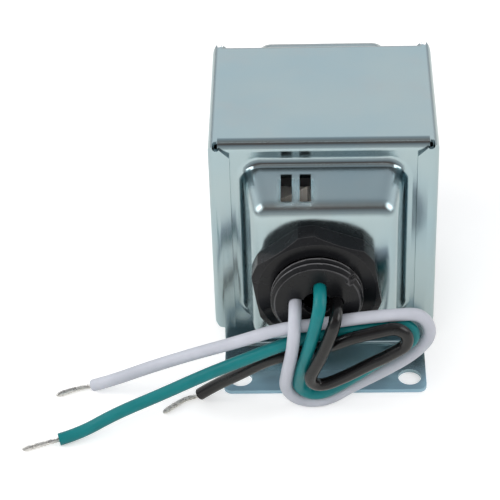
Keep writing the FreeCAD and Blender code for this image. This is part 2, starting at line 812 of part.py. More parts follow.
def ring(label, inner, outer, z, corners):
    """A rounded rectangular ring: half sizes of the opening and of the outside."""
    solids = []
    for part, (half_x, half_y), corner in (("inside", inner, corners[0]),
                                           ("outside", outer, corners[1])):
        block = box(f"{label}_{part}", (-half_x, half_x), (-half_y, half_y), z)
        solids.append(rounded(f"{label}_{part}_round", block, corner,
                              lambda edge: int(runs_along(edge, Z))))
    return cut(label, solids[1], solids[0])


def coil():
    """Bobbin, primary, barrier, secondary and tape, wound round the middle leg."""
    play = size("bobbin_play")
    low, high = core_joint + play, core_crown - play
    inside = (leg_half + size("bobbin_clearance"), stack_half + size("bobbin_clearance"))
    wall, corner = size("bobbin_wall"), size("winding_corner")
    tube = (inside[0] + wall, inside[1] + wall)
    barrel = ring("bobbin_barrel", inside, tube, (low, high), (corner / 2, corner))
    flange = (flange_x, flange_y)
    lower = ring("bobbin_lower", inside, flange, (low, low + size("bobbin_flange")),
                 (corner / 2, corner * 2))
    upper = ring("bobbin_upper", inside, flange, (high - size("bobbin_flange"), high),
                 (corner / 2, corner * 2))
    notches = wire_notches(tube[1], low)
    body = fuse("bobbin_body", [barrel, lower, upper])
    finish(cut("bobbin", body, fuse("bobbin_notches", notches)), "bobbin")
    z = (low + size("bobbin_flange"), high - size("bobbin_flange"))
    layers = (("primary_winding", window * size("primary_share")),
              ("winding_barrier", size("barrier_build")),
              ("secondary_winding", window * size("secondary_share")),
              ("coil_tape", size("tape_build")))
    for label, build in layers:
        outside = (tube[0] + build, tube[1] + build)
        finish(ring(f"{label}_ring", tube, outside, z, (corner, corner + build)), label)
        tube, corner = outside, corner + build
    return tube[1]


def wire_notches(barrel_y, low):
    """Notches in the lower flange where the wires go up into the windings."""
    half = size("wire_notch") / 2
    z = (low - steel, low + size("bobbin_flange") + zero)
    places = (("start", PRIMARY_START, -1), ("finish", PRIMARY_FINISH, -1),
              ("left", SECONDARY_LEFT, 1), ("right", SECONDARY_RIGHT, 1))
    notches = []
    for name, route, side in places:
        x = located(route)[-1].x
        y = (-flange_y - steel, -barrel_y) if side < 0 else (barrel_y, flange_y + steel)
        notches.append(box(f"notch_{name}", (zero + x - half, zero + x + half), y, z))
    return notches


def cutoff(tape_y):
    """Thermal cutoff laid flat on the taped coil."""
    x, z = size("cutoff_left"), (core_joint + core_crown) / 2 - size("cutoff_drop")
    block = box("cutoff_block", (x, x + size("cutoff_width")),
                (-tape_y - size("cutoff_thickness"), -tape_y), (z, z + size("cutoff_height")))
    finish(rounded("thermal_cutoff", block, size("cutoff_thickness") / 2,
                   lambda edge: int(runs_along(edge, Y))), "thermal_cutoff")


def paper():
    """Insulation paper in front of the coil, its upper edge cut at a slant."""
    left, right = size("paper_inset") - flange_x, size("paper_right")
    low, high = core_joint + size("paper_rise"), height - size("paper_headroom")
    points = [(left, low), (right, low), (right, high), (left, high - size("paper_slant"))]
    body = padded("insulation_paper", "XZ_Plane", points, size("paper_thickness"))
    place(body, zero, -flange_y - size("paper_thickness") / 2, zero)
    finish(body, "insulation_paper")


def ground():
    """Ring terminal on the inner end of the green lead and the screw that holds it."""
    x, z = core_half - hole_inset, core_top - hole_inset
    y = (-stack_half - size("ring_thickness"), -stack_half)
    eye = rod("ring_eye", size("ring_radius"), x, z, y)
    start, second = located(LEAD_GREEN)[:2]
    way = (start - second).normalize()
    barrel = doc.addObject("Part::Cylinder", "ring_barrel")
    bind(barrel, "Radius", size("barrel_radius"))
    bind(barrel, "Height", size("barrel_length"))
    barrel.Placement = FreeCAD.Placement(start, FreeCAD.Rotation(Z, way))
    half = size("tongue_width") / 2
    tongue_x = zero + start.x + size("barrel_length") * way.x - steel
    tongue = box("ring_tongue", (tongue_x, x), y, (zero + start.z - half, zero + start.z + half))
    doc.recompute()
    hole = rod("ring_hole", size("ring_hole_radius"), x, z, (y[0] - steel, y[1] + steel))
    form = fuse("ring_form", [eye, tongue, barrel])
    finish(cut("ground_ring_terminal", form, hole), "ground_ring_terminal")
    head = rod("ground_head", size("ground_head_radius"), x, z,
               (y[0] - size("ground_head_height"), y[0]))
    shank = rod("ground_shank", size("core_hole_radius"), x, z,
                (y[0], y[0] + size("ground_screw_length")))
    finish(fuse("ground_screw", [head, shank]), "ground_screw")


def terminal_block():
    """Insulating block on the back bulge with raised ribs between the screws."""
    half_x, half_z = block_half, size("block_height") / 2
    z = (nipple_z - half_z, nipple_z + half_z)
    back = bulge_out + size("block_thickness")
    base = box("block_base", (-half_x, half_x), (bulge_out, back), z)
    rib, thick = size("rib_height"), size("rib_thickness")
    ribs = [box("rib_middle", (-thick / 2, thick / 2), (back, back + rib), z),
            box("rib_left", (-half_x, thick - half_x), (back, back + rib), z),
            box("rib_right", (half_x - thick, half_x), (back, back + rib), z)]
    tools = []
    for side, sign in (("left", -1), ("right", 1)):
        x = size("terminal_spacing") / 2 * sign
        tools.append(rod(f"block_screw_hole_{side}", size("terminal_screw_radius"), x, nipple_z,
                         (back - size("terminal_screw_length"), back + steel)))
        play = size("tab_play")
        half = size("tab_width") / 2 + play
        tab_z = tab_height()
        tools.append(box(f"block_tab_hole_{side}", (x - half, x + half),
                         (bulge_out - steel, back + steel), (tab_z[0] - play, tab_z[1] + play)))
    drilled = cut("block_drilled", fuse("block_square", [base] + ribs), fuse("block_holes", tools))
    envelope = rounded("block_envelope", box("block_space", (-half_x, half_x),
                                             (bulge_out, back + rib), z),
                       size("block_corner"), lambda edge: int(runs_along(edge, Y)))
    finish(common("terminal_block", [drilled, envelope]), "terminal_block")
    for side, sign in (("left", -1), ("right", 1)):
        terminal(side, size("terminal_spacing") / 2 * sign, back)


def tab_height():
    low = tab_middle - size("plate_thickness") / 2
    return low, low + size("plate_thickness")


def terminal(side, x, back):
    """A plate under its binding screw, with a tab that reaches into the case."""
    half, thick = size("plate_size") / 2, size("plate_thickness")
    tab = size("tab_width") / 2
    tab_z = tab_height()
    face = box(f"plate_face_{side}", (x - half, x + half), (back, back + thick),
               (tab_z[0], nipple_z + half))
    tongue = box(f"plate_tab_{side}", (x - tab, x + tab), (tab_end, back + thick), tab_z)
    hole = rod(f"plate_hole_{side}", size("terminal_screw_radius"), x, nipple_z,
               (back - steel, back + thick + steel))
    label = f"terminal_plate_{side}"
    finish(cut(label, fuse(f"{label}_form", [face, tongue]), hole), label)
    top = back + thick
    head = rod(f"head_{side}", size("terminal_head_radius"), x, nipple_z,
               (top, top + size("terminal_head_height")))
    shank = rod(f"shank_{side}", size("terminal_screw_radius"), x, nipple_z,
                (back - size("terminal_screw_length"), top))
    slot_half, reach = size("screw_slot_width") / 2, size("terminal_head_radius") + steel
    slot = box(f"screw_slot_{side}", (x - reach, x + reach),
               (top + size("terminal_head_height") - size("screw_slot_depth"),
                top + size("terminal_head_height") + steel),
               (nipple_z - slot_half, nipple_z + slot_half))
    label = f"terminal_screw_{side}"
    finish(cut(label, fuse(f"{label}_form", [head, shank]), slot), label)


def build():
    case()
    bottom_plate()
    nipple()
    locknut()
    leads()
    splice("splice_white", LEAD_WHITE)
    splice("splice_black", LEAD_BLACK)
    core()
    cutoff(coil())
    paper()
    ground()
    terminal_block()


NODES = (
    "case", "bottom_plate", "nipple", "locknut", "lead_white", "lead_green", "lead_black",
    "tinned_end_white", "tinned_end_green", "tinned_end_black", "core_e_laminations",
    "core_i_laminations", "bobbin", "primary_winding", "winding_barrier", "secondary_winding",
    "coil_tape", "insulation_paper", "splice_white", "splice_black", "primary_wire_start",
    "primary_wire_finish", "ground_ring_terminal", "ground_screw", "thermal_cutoff",
    "terminal_block", "terminal_plate_left", "terminal_plate_right", "terminal_screw_left",
    "terminal_screw_right", "secondary_wire_left", "secondary_wire_right",
)


def export():
    doc.recompute()
    for item in doc.Objects:
        if "Invalid" in item.State or "Error" in item.State:
            raise RuntimeError(f"{item.Label} did not recompute: {item.State}")
    for label in NODES:
        found = [item for item in doc.Objects if item.Label == label]
        shape = found[0].Shape
        if shape.isNull() or not shape.isValid() or len(shape.Solids) != 1:
            raise RuntimeError(f"{label}: not one valid solid ({len(shape.Solids)})")
        shape.exportStep(f"parts/{label}.step")
        print(f"{label}: volume {shape.Volume:.1f} mm3")


build()
export()
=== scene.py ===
# %% [markdown]
# This lesson dresses a chime transformer: a folded steel case with a black threaded
# nipple, a locknut and three stripped leads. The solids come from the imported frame,
# already in place and at real size, so the work here is light, finish and the few
# forms that plain solids leave out: the leads' smooth curves, the twisted strands at
# their ends, the thread on the nipple and the heads of the terminal screws.

# %% Load the frame
import math

import bmesh
import bpy
from mathutils import Matrix, Vector


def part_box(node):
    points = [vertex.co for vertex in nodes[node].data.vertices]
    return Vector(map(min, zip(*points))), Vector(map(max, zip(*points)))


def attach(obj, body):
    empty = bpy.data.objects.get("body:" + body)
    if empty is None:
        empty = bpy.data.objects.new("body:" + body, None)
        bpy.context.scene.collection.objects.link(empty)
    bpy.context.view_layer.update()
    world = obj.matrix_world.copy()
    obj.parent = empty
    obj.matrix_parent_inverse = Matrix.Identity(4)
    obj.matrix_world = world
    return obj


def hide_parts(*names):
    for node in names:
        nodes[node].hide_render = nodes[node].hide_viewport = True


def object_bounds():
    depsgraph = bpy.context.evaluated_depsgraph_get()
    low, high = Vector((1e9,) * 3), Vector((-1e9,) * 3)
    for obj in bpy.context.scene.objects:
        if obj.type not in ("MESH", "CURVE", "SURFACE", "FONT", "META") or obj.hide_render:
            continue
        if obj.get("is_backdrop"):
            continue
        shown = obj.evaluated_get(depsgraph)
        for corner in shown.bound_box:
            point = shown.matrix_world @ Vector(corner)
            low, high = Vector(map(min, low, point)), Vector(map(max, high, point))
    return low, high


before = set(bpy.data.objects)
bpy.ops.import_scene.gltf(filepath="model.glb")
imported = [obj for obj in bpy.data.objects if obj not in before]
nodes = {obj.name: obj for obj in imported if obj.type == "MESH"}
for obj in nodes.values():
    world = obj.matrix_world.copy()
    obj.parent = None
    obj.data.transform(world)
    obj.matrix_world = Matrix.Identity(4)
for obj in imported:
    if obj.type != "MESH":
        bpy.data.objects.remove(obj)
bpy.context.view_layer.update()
MM = 0.001

# %% [markdown]
# The camera stands where the photograph was taken from: in front of the nipple and
# well above it, close enough for the sides to converge. A camera could be aimed at a
# target by hand, but three angles say more exactly how it is turned: how far it looks
# down, how far it looks to the left, and a slight roll of the picture. From them come
# the directions that are forward, right and down in the picture. A camera looks along
# its own minus z with y upwards, so the columns of its turn are right, up and back.

# %% The camera
LOOK_DOWN = math.radians(38.158)
LOOK_LEFT = math.radians(2.162)
ROLL = math.radians(1.944)
CAMERA_PLACE = Vector((-2.91, -412.742, 338.681)) * MM
LENS_MM = 149.975
SENSOR_MM = 36.0


def photograph_camera():
    """A camera that frames the object as the photograph does."""
    forward = Vector((-math.sin(LOOK_LEFT) * math.cos(LOOK_DOWN),
                      math.cos(LOOK_LEFT) * math.cos(LOOK_DOWN), -math.sin(LOOK_DOWN)))
    right = Vector((math.cos(LOOK_LEFT), math.sin(LOOK_LEFT), 0))
    down = forward.cross(right)
    rolled_right = right * math.cos(ROLL) + down * math.sin(ROLL)
    rolled_down = down * math.cos(ROLL) - right * math.sin(ROLL)
    data = bpy.data.cameras.new("camera")
    data.lens = LENS_MM
    data.sensor_width = SENSOR_MM
    data.sensor_fit = "HORIZONTAL"
    camera = bpy.data.objects.new("camera", data)
    turn = Matrix((rolled_right, -rolled_down, -forward)).transposed().to_4x4()
    camera.matrix_world = Matrix.Translation(CAMERA_PLACE) @ turn
    bpy.context.collection.objects.link(camera)
    bpy.context.scene.camera = camera


photograph_camera()
print("camera looks down by", round(math.degrees(LOOK_DOWN), 1), "degrees")

# %% [markdown]
# The three leads are stiff hook-up wires. Each starts at its splice or its screw
# inside the case, leaves through the nipple, drops in front of it, turns over to the
# right in one loop and runs away to the left, down to the floor. The route of each is
# the list of points that its solid tube follows, in millimetres.

# %% The leads' routes
LEAD_DIAMETER = 3.0 * MM
LEAD_ROUTES = {
    "white": [
        (-6.9, -28.6, 25.0), (-6.9, -28.6, 33.0), (-6.85, -39.5, 33.3), (-6.9, -50.7, 33.7),
        (-7.5, -50.4, 24.5), (-8.9, -47.7, 15.5), (-9.8, -44.6, 7.4), (-6.3, -42.7, 1.6),
        (0.5, -42.6, 1.6), (6.6, -43.2, 6.9), (13.6, -44.0, 12.0), (20.9, -44.6, 18.0),
        (24.9, -44.9, 24.1), (22.3, -46.0, 31.3), (15.5, -47.2, 31.9), (7.5, -47.0, 30.9),
        (-1.0, -46.8, 29.1), (-10.5, -46.8, 27.8), (-20.5, -45.4, 22.6), (-31.0, -43.4, 17.4),
        (-42.0, -40.6, 10.8), (-51.5, -37.9, 4.3), (-56.2, -36.5, 1.6),
    ],
    "green": [
        (8.5, -20.5, 50.6), (2.0, -23.2, 50.6), (-1.1, -28.6, 46.0), (-1.35, -29.0, 37.6),
        (-1.35, -39.5, 37.7), (-1.0, -51.2, 38.5), (-2.9, -51.2, 29.0), (-5.0, -49.6, 19.8),
        (-6.3, -45.6, 10.8), (-6.2, -43.9, 6.9), (-3.4, -43.4, 4.4), (0.6, -44.0, 5.6),
        (7.0, -45.6, 12.1), (12.6, -46.5, 17.6), (15.5, -46.6, 19.9), (18.1, -46.6, 22.0),
        (20.3, -46.6, 23.9), (20.4, -46.6, 26.8), (18.2, -46.5, 28.8), (15.3, -46.5, 28.4),
        (11.0, -46.5, 27.8), (6.5, -46.6, 27.2), (-1.0, -46.5, 25.9), (-9.5, -46.5, 22.9),
        (-18.5, -46.7, 18.6), (-28.5, -47.3, 14.1), (-39.0, -49.1, 9.6), (-49.5, -51.8, 6.3),
        (-58.0, -54.0, 2.1), (-62.9, -55.5, 1.6),
    ],
    "black": [
        (2.6, -28.6, 25.0), (2.6, -28.6, 33.0), (2.6, -39.5, 33.2), (2.6, -52.2, 35.3),
        (0.5, -52.3, 28.1), (-1.8, -51.9, 21.6), (-4.1, -50.7, 15.3), (-1.2, -49.4, 12.2),
        (4.6, -49.3, 15.1), (10.6, -49.6, 19.4), (13.4, -49.7, 21.1), (16.1, -49.7, 23.0),
        (18.7, -49.7, 24.9), (18.8, -49.7, 28.1), (16.2, -49.7, 30.1), (13.1, -49.6, 29.2),
        (9.6, -49.6, 28.2), (5.8, -49.8, 27.2), (2.1, -49.4, 25.0), (-2.4, -46.9, 21.4),
        (-6.5, -45.5, 19.0), (-13.0, -45.0, 17.1), (-20.5, -42.9, 10.4), (-26.5, -40.7, 5.0),
        (-30.2, -40.0, 1.6),
    ],
}
print("points of each lead:", {color: len(route) for color, route in LEAD_ROUTES.items()})

# %% [markdown]
# Straight runs with rounded corners would look like bent rod. A NURBS curve of order
# three uses the same points only as a guide and passes smoothly inside its corners,
# as stiff wire does, so each lead is one such curve with a round bevel. The order and
# the end points are set after the points are added, because set before, they leave
# the curve straight from point to point.

# %% The leads as curves
CURVE_STEPS = 12
ROUND_STEPS = 6


def nurbs_curve(name, route, radius=0.0):
    """An open NURBS curve with the route as its control points; a radius makes a tube."""
    data = bpy.data.curves.new(name, "CURVE")
    data.dimensions = "3D"
    spline = data.splines.new("NURBS")
    spline.points.add(len(route) - 1)
    for point, place in zip(spline.points, route):
        point.co = (*(Vector(place) * MM), 1)
    spline.order_u = 3
    spline.use_endpoint_u = True
    spline.resolution_u = CURVE_STEPS
    data.bevel_depth = radius
    data.bevel_resolution = ROUND_STEPS
    data.use_fill_caps = radius > 0
    curve = bpy.data.objects.new(name, data)
    bpy.context.collection.objects.link(curve)
    return curve


leads = {color: nurbs_curve(f"insulation_{color}", route, LEAD_DIAMETER / 2)
         for color, route in LEAD_ROUTES.items()}
print("leads:", ", ".join(leads))

# %% [markdown]
# Node trees are built in code here, for forms and for finishes. Written out in full,
# every node takes a line to make it, one for each of its settings and one for each
# link. These helpers say it in one call: a value that is a socket is linked, and any
# other value is typed into the input.

# %% Helpers for node trees
def node(tree, kind, links=(), **settings):
    """A node with its settings made and its inputs linked or typed in."""
    item = tree.nodes.new(kind)
    for name, value in settings.items():
        setattr(item, name, value)
    for key, value in links:
        if isinstance(value, bpy.types.NodeSocket):
            tree.links.new(value, item.inputs[key])
        else:
            item.inputs[key].default_value = value
    return item


def math_node(tree, operation, a, b=0.0):
    return node(tree, "ShaderNodeMath", [(0, a), (1, b)], operation=operation).outputs[0]


def product(tree, a, b):
    return math_node(tree, "MULTIPLY", a, b)


def scaled(tree, vector, scale):
    """A vector made longer or shorter."""
    return node(tree, "ShaderNodeVectorMath", [(0, vector), ("Scale", scale)],
                operation="SCALE").outputs[0]


def upward(tree, height):
    """A vector that points up the z axis."""
    return node(tree, "ShaderNodeCombineXYZ", [("Z", height)]).outputs[0]


def ranged(tree, value, low, high, start=0.3, end=0.7):
    """The value between start and end, spread between low and high."""
    return node(tree, "ShaderNodeMapRange", [("Value", value), ("From Min", start),
                                             ("From Max", end), ("To Min", low),
                                             ("To Max", high)]).outputs[0]


print("helpers: node, math_node, product, scaled, upward, ranged")

# %% [markdown]
# A Geometry Nodes tree is a small machine with named inputs. A tree starts with its
# inputs and ends in Realize Instances and Set Material, so that what leaves it is one
# plain mesh with its finish. The modifier that runs it sits on an empty carrier, its
# values are set by the sockets' identifiers, and the finished mesh is then taken off
# the carrier, which goes away.

# %% Helpers for Geometry Nodes
SHARP_ANGLE = math.radians(35)


def new_tree(name, inputs):
    """A tree with its named inputs, each a name, a kind of socket and a value or None."""
    tree = bpy.data.node_groups.new(name, "GeometryNodeTree")
    for label, kind, value in (*inputs, ("Material", "NodeSocketMaterial", None)):
        socket = tree.interface.new_socket(label, in_out="INPUT", socket_type=kind)
        if value is not None:
            socket.default_value = value
    tree.interface.new_socket("Geometry", in_out="OUTPUT", socket_type="NodeSocketGeometry")
    return tree, node(tree, "NodeGroupInput").outputs


def end_tree(tree, given, geometry):
    """Realize Instances, Set Material and the way out."""
    real = node(tree, "GeometryNodeRealizeInstances", [("Geometry", geometry)])
    done = node(tree, "GeometryNodeSetMaterial", [("Geometry", real.outputs[0]),
                                                  ("Material", given["Material"])])
    node(tree, "NodeGroupOutput", [("Geometry", done.outputs[0])])


def smooth(piece):
    """Smooth shading, with edges that turn by more than the sharp angle left sharp."""
    piece.data.shade_smooth()
    piece.data.set_sharp_from_angle(angle=SHARP_ANGLE)


def grown(name, tree, values):
    """A plain mesh object made by a Geometry Nodes tree; the modifier doesn't stay."""
    carrier = bpy.data.objects.new(f"{name}_carrier", bpy.data.meshes.new(f"{name}_carrier"))
    bpy.context.collection.objects.link(carrier)
    modifier = carrier.modifiers.new("nodes", "NODES")
    modifier.node_group = tree
    sockets = {item.name: item.identifier for item in tree.interface.items_tree
               if item.in_out == "INPUT"}
    for key, value in values.items():
        modifier[sockets[key]] = value
    graph = bpy.context.evaluated_depsgraph_get()
    mesh = bpy.data.meshes.new_from_object(carrier.evaluated_get(graph))
    piece = bpy.data.objects.new(name, mesh)
    bpy.context.collection.objects.link(piece)
    bpy.data.objects.remove(carrier)
    smooth(piece)
    return piece


print("edges stay sharp from", round(math.degrees(SHARP_ANGLE)), "degrees")

# %% [markdown]
# Where the insulation is stripped, seven tinned strands lie twisted together. They
# could be modelled one by one, but the twist is a rule, so nodes make it: they read
# the route, copy it six times, and shift each copy sideways by an angle that grows
# along the route. The seventh strand is the route itself, in the middle. A small
# circle is swept along every strand. The strands open a little towards the tip, where
# solder fills them, and a quarter ellipse over the last stretch rounds the tip off.
# The routes are in millimetres, and each goes on from the end of its insulation.

# %% The twisted strands
STRAND_ROUTES = {
    "white": [(-56.2, -36.5, 1.6), (-57.14, -36.22, 1.06), (-59.3, -36.6, 0.95),
              (-62.0, -37.5, 0.85), (-65.1, -39.0, 0.65)],
    "green": [(-62.9, -55.5, 1.6), (-63.88, -55.8, 1.5), (-66.0, -56.3, 1.25),
              (-68.7, -57.0, 0.9), (-71.5, -57.8, 0.65)],
    "black": [(-30.2, -40.0, 1.6), (-31.15, -39.82, 0.73), (-33.3, -40.4, 0.7),
              (-35.9, -42.4, 0.68), (-38.9, -45.5, 0.65)],
}
OUTER_STRANDS = 6
STRAND_POINTS = 60
STRAND_SIDES = 10
SWELL_START, ROOT_SWELL = 0.2, 1.05
TIP_START, TIP_LEAST = 0.86, 0.25
STRAND_INPUTS = [
    ("Route", "NodeSocketObject", None),
    ("Strand Radius", "NodeSocketFloat", 0.2 * MM),
    ("Lay Radius", "NodeSocketFloat", 0.38 * MM),
    ("Turns", "NodeSocketFloat", 2.2),
    ("Tip Swell", "NodeSocketFloat", 1.18),
]


def strand_width(tree, given, along):
    """How wide the bundle is along its length: a slow swell, then a rounded tip."""
    swell = ranged(tree, along, ROOT_SWELL, given["Tip Swell"], SWELL_START, TIP_START)
    tip = ranged(tree, along, 0.0, 1.0, TIP_START, 1.0)
    arc = math_node(tree, "SUBTRACT", 1.0, product(tree, tip, tip))
    close = math_node(tree, "MAXIMUM", math_node(tree, "SQRT", arc), TIP_LEAST)
    return product(tree, swell, close)


def strand_tree():
    """Seven strands laid round a route, with named sizes."""
    tree, given = new_tree("twisted_strands", STRAND_INPUTS)
    route = node(tree, "GeometryNodeObjectInfo", [("Object", given["Route"])])
    fine = node(tree, "GeometryNodeResampleCurve", [("Curve", route.outputs["Geometry"]),
                                                    ("Count", STRAND_POINTS)])
    copies = node(tree, "GeometryNodeDuplicateElements",
                  [("Geometry", fine.outputs[0]), ("Amount", OUTER_STRANDS)], domain="SPLINE")
    along = node(tree, "GeometryNodeSplineParameter").outputs["Factor"]
    start = product(tree, copies.outputs["Duplicate Index"], math.tau / OUTER_STRANDS)
    twist = product(tree, product(tree, along, given["Turns"]), math.tau)
    angle = math_node(tree, "ADD", start, twist)
    width = strand_width(tree, given, along)
    lay = product(tree, given["Lay Radius"], width)
    normal = node(tree, "GeometryNodeInputNormal").outputs[0]
    tangent = node(tree, "GeometryNodeInputTangent").outputs[0]
    across = node(tree, "ShaderNodeVectorMath", [(0, tangent), (1, normal)],
                  operation="CROSS_PRODUCT").outputs[0]
    out = scaled(tree, normal, product(tree, math_node(tree, "COSINE", angle), lay))
    aside = scaled(tree, across, product(tree, math_node(tree, "SINE", angle), lay))
    offset = node(tree, "ShaderNodeVectorMath", [(0, out), (1, aside)], operation="ADD")
    laid = node(tree, "GeometryNodeSetPosition", [("Geometry", copies.outputs["Geometry"]),
                                                  ("Offset", offset.outputs[0])])
    both = node(tree, "GeometryNodeJoinGeometry")
    tree.links.new(laid.outputs[0], both.inputs[0])
    tree.links.new(fine.outputs[0], both.inputs[0])
    circle = node(tree, "GeometryNodeCurvePrimitiveCircle",
                  [("Resolution", STRAND_SIDES), ("Radius", given["Strand Radius"])])
    swept = node(tree, "GeometryNodeCurveToMesh", [("Curve", both.outputs[0]),
                                                   ("Profile Curve", circle.outputs["Curve"]),
                                                   ("Scale", width), ("Fill Caps", True)])
    end_tree(tree, given, swept.outputs[0])
    return tree


strands = strand_tree()
print("strand tree:", len(strands.nodes), "nodes for", OUTER_STRANDS + 1, "strands")

# %% [markdown]
# Finishes share a few helpers. A pattern is placed in object coordinates, so it stays
# with the metal when the view moves. Noise gives cloudiness, a stretched noise gives
# the grain that the rolling mill leaves, and a range turns either into a share, a
# colour or a roughness. One pattern often drives both colour and roughness, because
# dirt and wear change the two together.

# %% Helpers for patterns
def new_finish(name, metallic):
    material = bpy.data.materials.new(name)
    material.use_nodes = True
    shader = material.node_tree.nodes["Principled BSDF"]
    shader.inputs["Metallic"].default_value = metallic
    return material, material.node_tree, shader


def noise(tree, scale, detail=3.0, roughness=0.5, stretch=(1, 1, 1)):
    """Noise in object coordinates; a small stretch on an axis draws it out along that axis."""
    spot = node(tree, "ShaderNodeTexCoord").outputs["Object"]
    placed = node(tree, "ShaderNodeMapping", [("Vector", spot), ("Scale", stretch)])
    return node(tree, "ShaderNodeTexNoise", [("Vector", placed.outputs[0]), ("Scale", scale),
                                             ("Detail", detail),
                                             ("Roughness", roughness)]).outputs["Fac"]


def mixed(tree, kind, factor, first, second):
    """A colour (kind RGBA) or a direction (kind VECTOR) between two others."""
    item = node(tree, "ShaderNodeMix", [("Factor", factor)], data_type=kind)
    for name, value in (("A", first), ("B", second)):
        socket = next(s for s in item.inputs if s.name == name and s.type == kind)
        if isinstance(value, bpy.types.NodeSocket):
            tree.links.new(value, socket)
        else:
            socket.default_value = (*value, 1)
    return next(s for s in item.outputs if s.type == kind)


def between(tree, pattern, first, second):
    """Two colours that take turns with a pattern."""
    return mixed(tree, "RGBA", ranged(tree, pattern, 0.0, 1.0), first, second)


def clouded(tree, shader, pattern, first, second, smoothest, roughest):
    """Colour and roughness that follow one pattern."""
    tree.links.new(between(tree, pattern, first, second), shader.inputs["Base Color"])
    tree.links.new(ranged(tree, pattern, smoothest, roughest), shader.inputs["Roughness"])


print("helpers: new_finish, noise, mixed, between, clouded")

# %% [markdown]
# Two things change the direction that the light finds on a surface. A bump adds fine
# relief, given as a depth in metres. A Bevel node looks for edges nearby and answers
# as if they were rounded. Real round faces would do the same, but the solids from the
# frame are used as they are, so their finest edges are rounded in the shading alone.

# %% Helpers for relief and edges
BEVEL_SAMPLES = 8


def bumped(tree, shader, height, strength, depth, normal=None):
    """Relief in the shading: a depth in metres on top of the surface's own direction."""
    item = node(tree, "ShaderNodeBump", [("Height", height), ("Strength", strength),
                                         ("Distance", depth)])
    if normal is not None:
        tree.links.new(normal, item.inputs["Normal"])
    tree.links.new(item.outputs[0], shader.inputs["Normal"])


def softened(tree, radius):
    """The surface's direction as if every edge were rounded by a radius."""
    return node(tree, "ShaderNodeBevel", [("Radius", radius)], samples=BEVEL_SAMPLES).outputs[0]


def own_normal(tree):
    return node(tree, "ShaderNodeNewGeometry").outputs["Normal"]


def dress(name, finish):
    """Give a CAD node its finish."""
    piece = nodes[name]
    piece.data.materials.clear()
    piece.data.materials.append(finish)


print("samples that look for edges:", BEVEL_SAMPLES)

# %% [markdown]
# The case is sheet steel, plated with zinc and passed through a clear blue chromate: a
# bright, slightly blue metal whose tint wanders towards green and, in stains, towards
# rose. The sheet's rolling grain runs down the plates and scatters the reflections
# into soft upright streaks. The solid has the drawn bulge's bends; sheet drawn over a
# die curves more gently still, so there, and only there, a Bevel node turns the
# shading softly round them. It is masked by how far out and how high a spot lies,
# because on thin sheet the same node would smear the flaps' cut edges. Towards the
# feet's rims a paler blue is painted in and the sheet turns less metallic outwards: a
# painted reflection that lightens them.

# %% Zinc-plated sheet
ZINC_BLUE, ZINC_GREEN, ZINC_ROSE = (0.36, 0.48, 0.53), (0.42, 0.51, 0.53), (0.46, 0.47, 0.47)
STAIN_STRENGTH, STAIN_RANGE = 0.3, (0.52, 0.75)
HAZE_ROUGHNESS, GRAIN_ROUGHNESS = (0.13, 0.19), (0.0, 0.05)
GRAIN_STRENGTH, GRAIN_DEPTH = 0.03, 0.03 * MM
DRAWN_BEND = 2.6 * MM
DRAWN_OUT = (24.5 * MM, 27.0 * MM)
DRAWN_UP = (6.0 * MM, 9.0 * MM)
RIM_OUT = (27.0 * MM, 36.0 * MM)
RIM_UP = (2.0 * MM, 4.0 * MM)
# painted reflection on the feet's rims: a paler blue, and less metal outwards
RIM_PAINTED_REFLECTION = (0.34, 0.54, 0.66)
RIM_METAL = 0.42


def zinc_finish():
    finish, tree, shader = new_finish("zinc_plate", 1.0)
    spot = node(tree, "ShaderNodeTexCoord").outputs["Object"]
    axes = node(tree, "ShaderNodeSeparateXYZ", [("Vector", spot)]).outputs
    out, up = math_node(tree, "ABSOLUTE", axes["Y"]), axes["Z"]
    clouds = noise(tree, scale=38.0, detail=4.0)
    tint = between(tree, clouds, ZINC_BLUE, ZINC_GREEN)
    stains = noise(tree, scale=95.0, detail=5.0, roughness=0.6, stretch=(1, 1, 0.45))
    stained = ranged(tree, stains, 0.0, STAIN_STRENGTH, *STAIN_RANGE)
    tint = mixed(tree, "RGBA", stained, tint, ZINC_ROSE)
    # the feet's rims, where the painted reflection goes in
    rim = product(tree, ranged(tree, out, 0.0, 1.0, *RIM_OUT),
                  ranged(tree, up, 1.0, 0.0, *RIM_UP))
    tree.links.new(mixed(tree, "RGBA", rim, tint, RIM_PAINTED_REFLECTION), shader.inputs["Base Color"])
    tree.links.new(ranged(tree, rim, 1.0, RIM_METAL, 0.0, 1.0), shader.inputs["Metallic"])
    grain = noise(tree, scale=2600.0, roughness=0.55, stretch=(1, 1, 0.06))
    haze = noise(tree, scale=70.0, detail=5.0)
    rough = math_node(tree, "ADD", ranged(tree, haze, *HAZE_ROUGHNESS),
                      ranged(tree, grain, *GRAIN_ROUGHNESS))
    tree.links.new(rough, shader.inputs["Roughness"])
    drawn = product(tree, ranged(tree, out, 0.0, 1.0, *DRAWN_OUT),
                    ranged(tree, up, 0.0, 1.0, *DRAWN_UP))
    normal = mixed(tree, "VECTOR", drawn, own_normal(tree), softened(tree, DRAWN_BEND))
    bumped(tree, shader, grain, GRAIN_STRENGTH, GRAIN_DEPTH, normal)
    return finish


zinc = zinc_finish()
dress("case", zinc)
dress("bottom_plate", zinc)
print("zinc on the case and the bottom plate")

# %% [markdown]
# The nipple and the locknut are moulded black nylon: nearly black, with a satin skin
# and a faint pebble. Moulded edges are never quite sharp. A Bevel node rounds the
# shading of the edges, and where its softened direction turns away from the true one,
# an edge is near and the colour goes to grey: a painted highlight along every edge.
# A second painted highlight comes from an attribute of the mesh, which the thread fills
# further down. A piece without it, such as the nut, reads nought there.

# %% Black nylon
NYLON_GLOSS = 0.24
# grey of the painted highlights on edges and on the thread's crests
PAINTED_HIGHLIGHT_COLOR = (0.13, 0.13, 0.135)
EDGE_HIGHLIGHT = 0.45
EDGE_RANGE = (0.9, 0.995)
NYLON_SHADE = 0.75
NYLON_SMOOTHER, NYLON_ROUGHER = 0.05, 0.06
PEBBLE_STRENGTH, PEBBLE_DEPTH = 0.12, 0.05 * MM


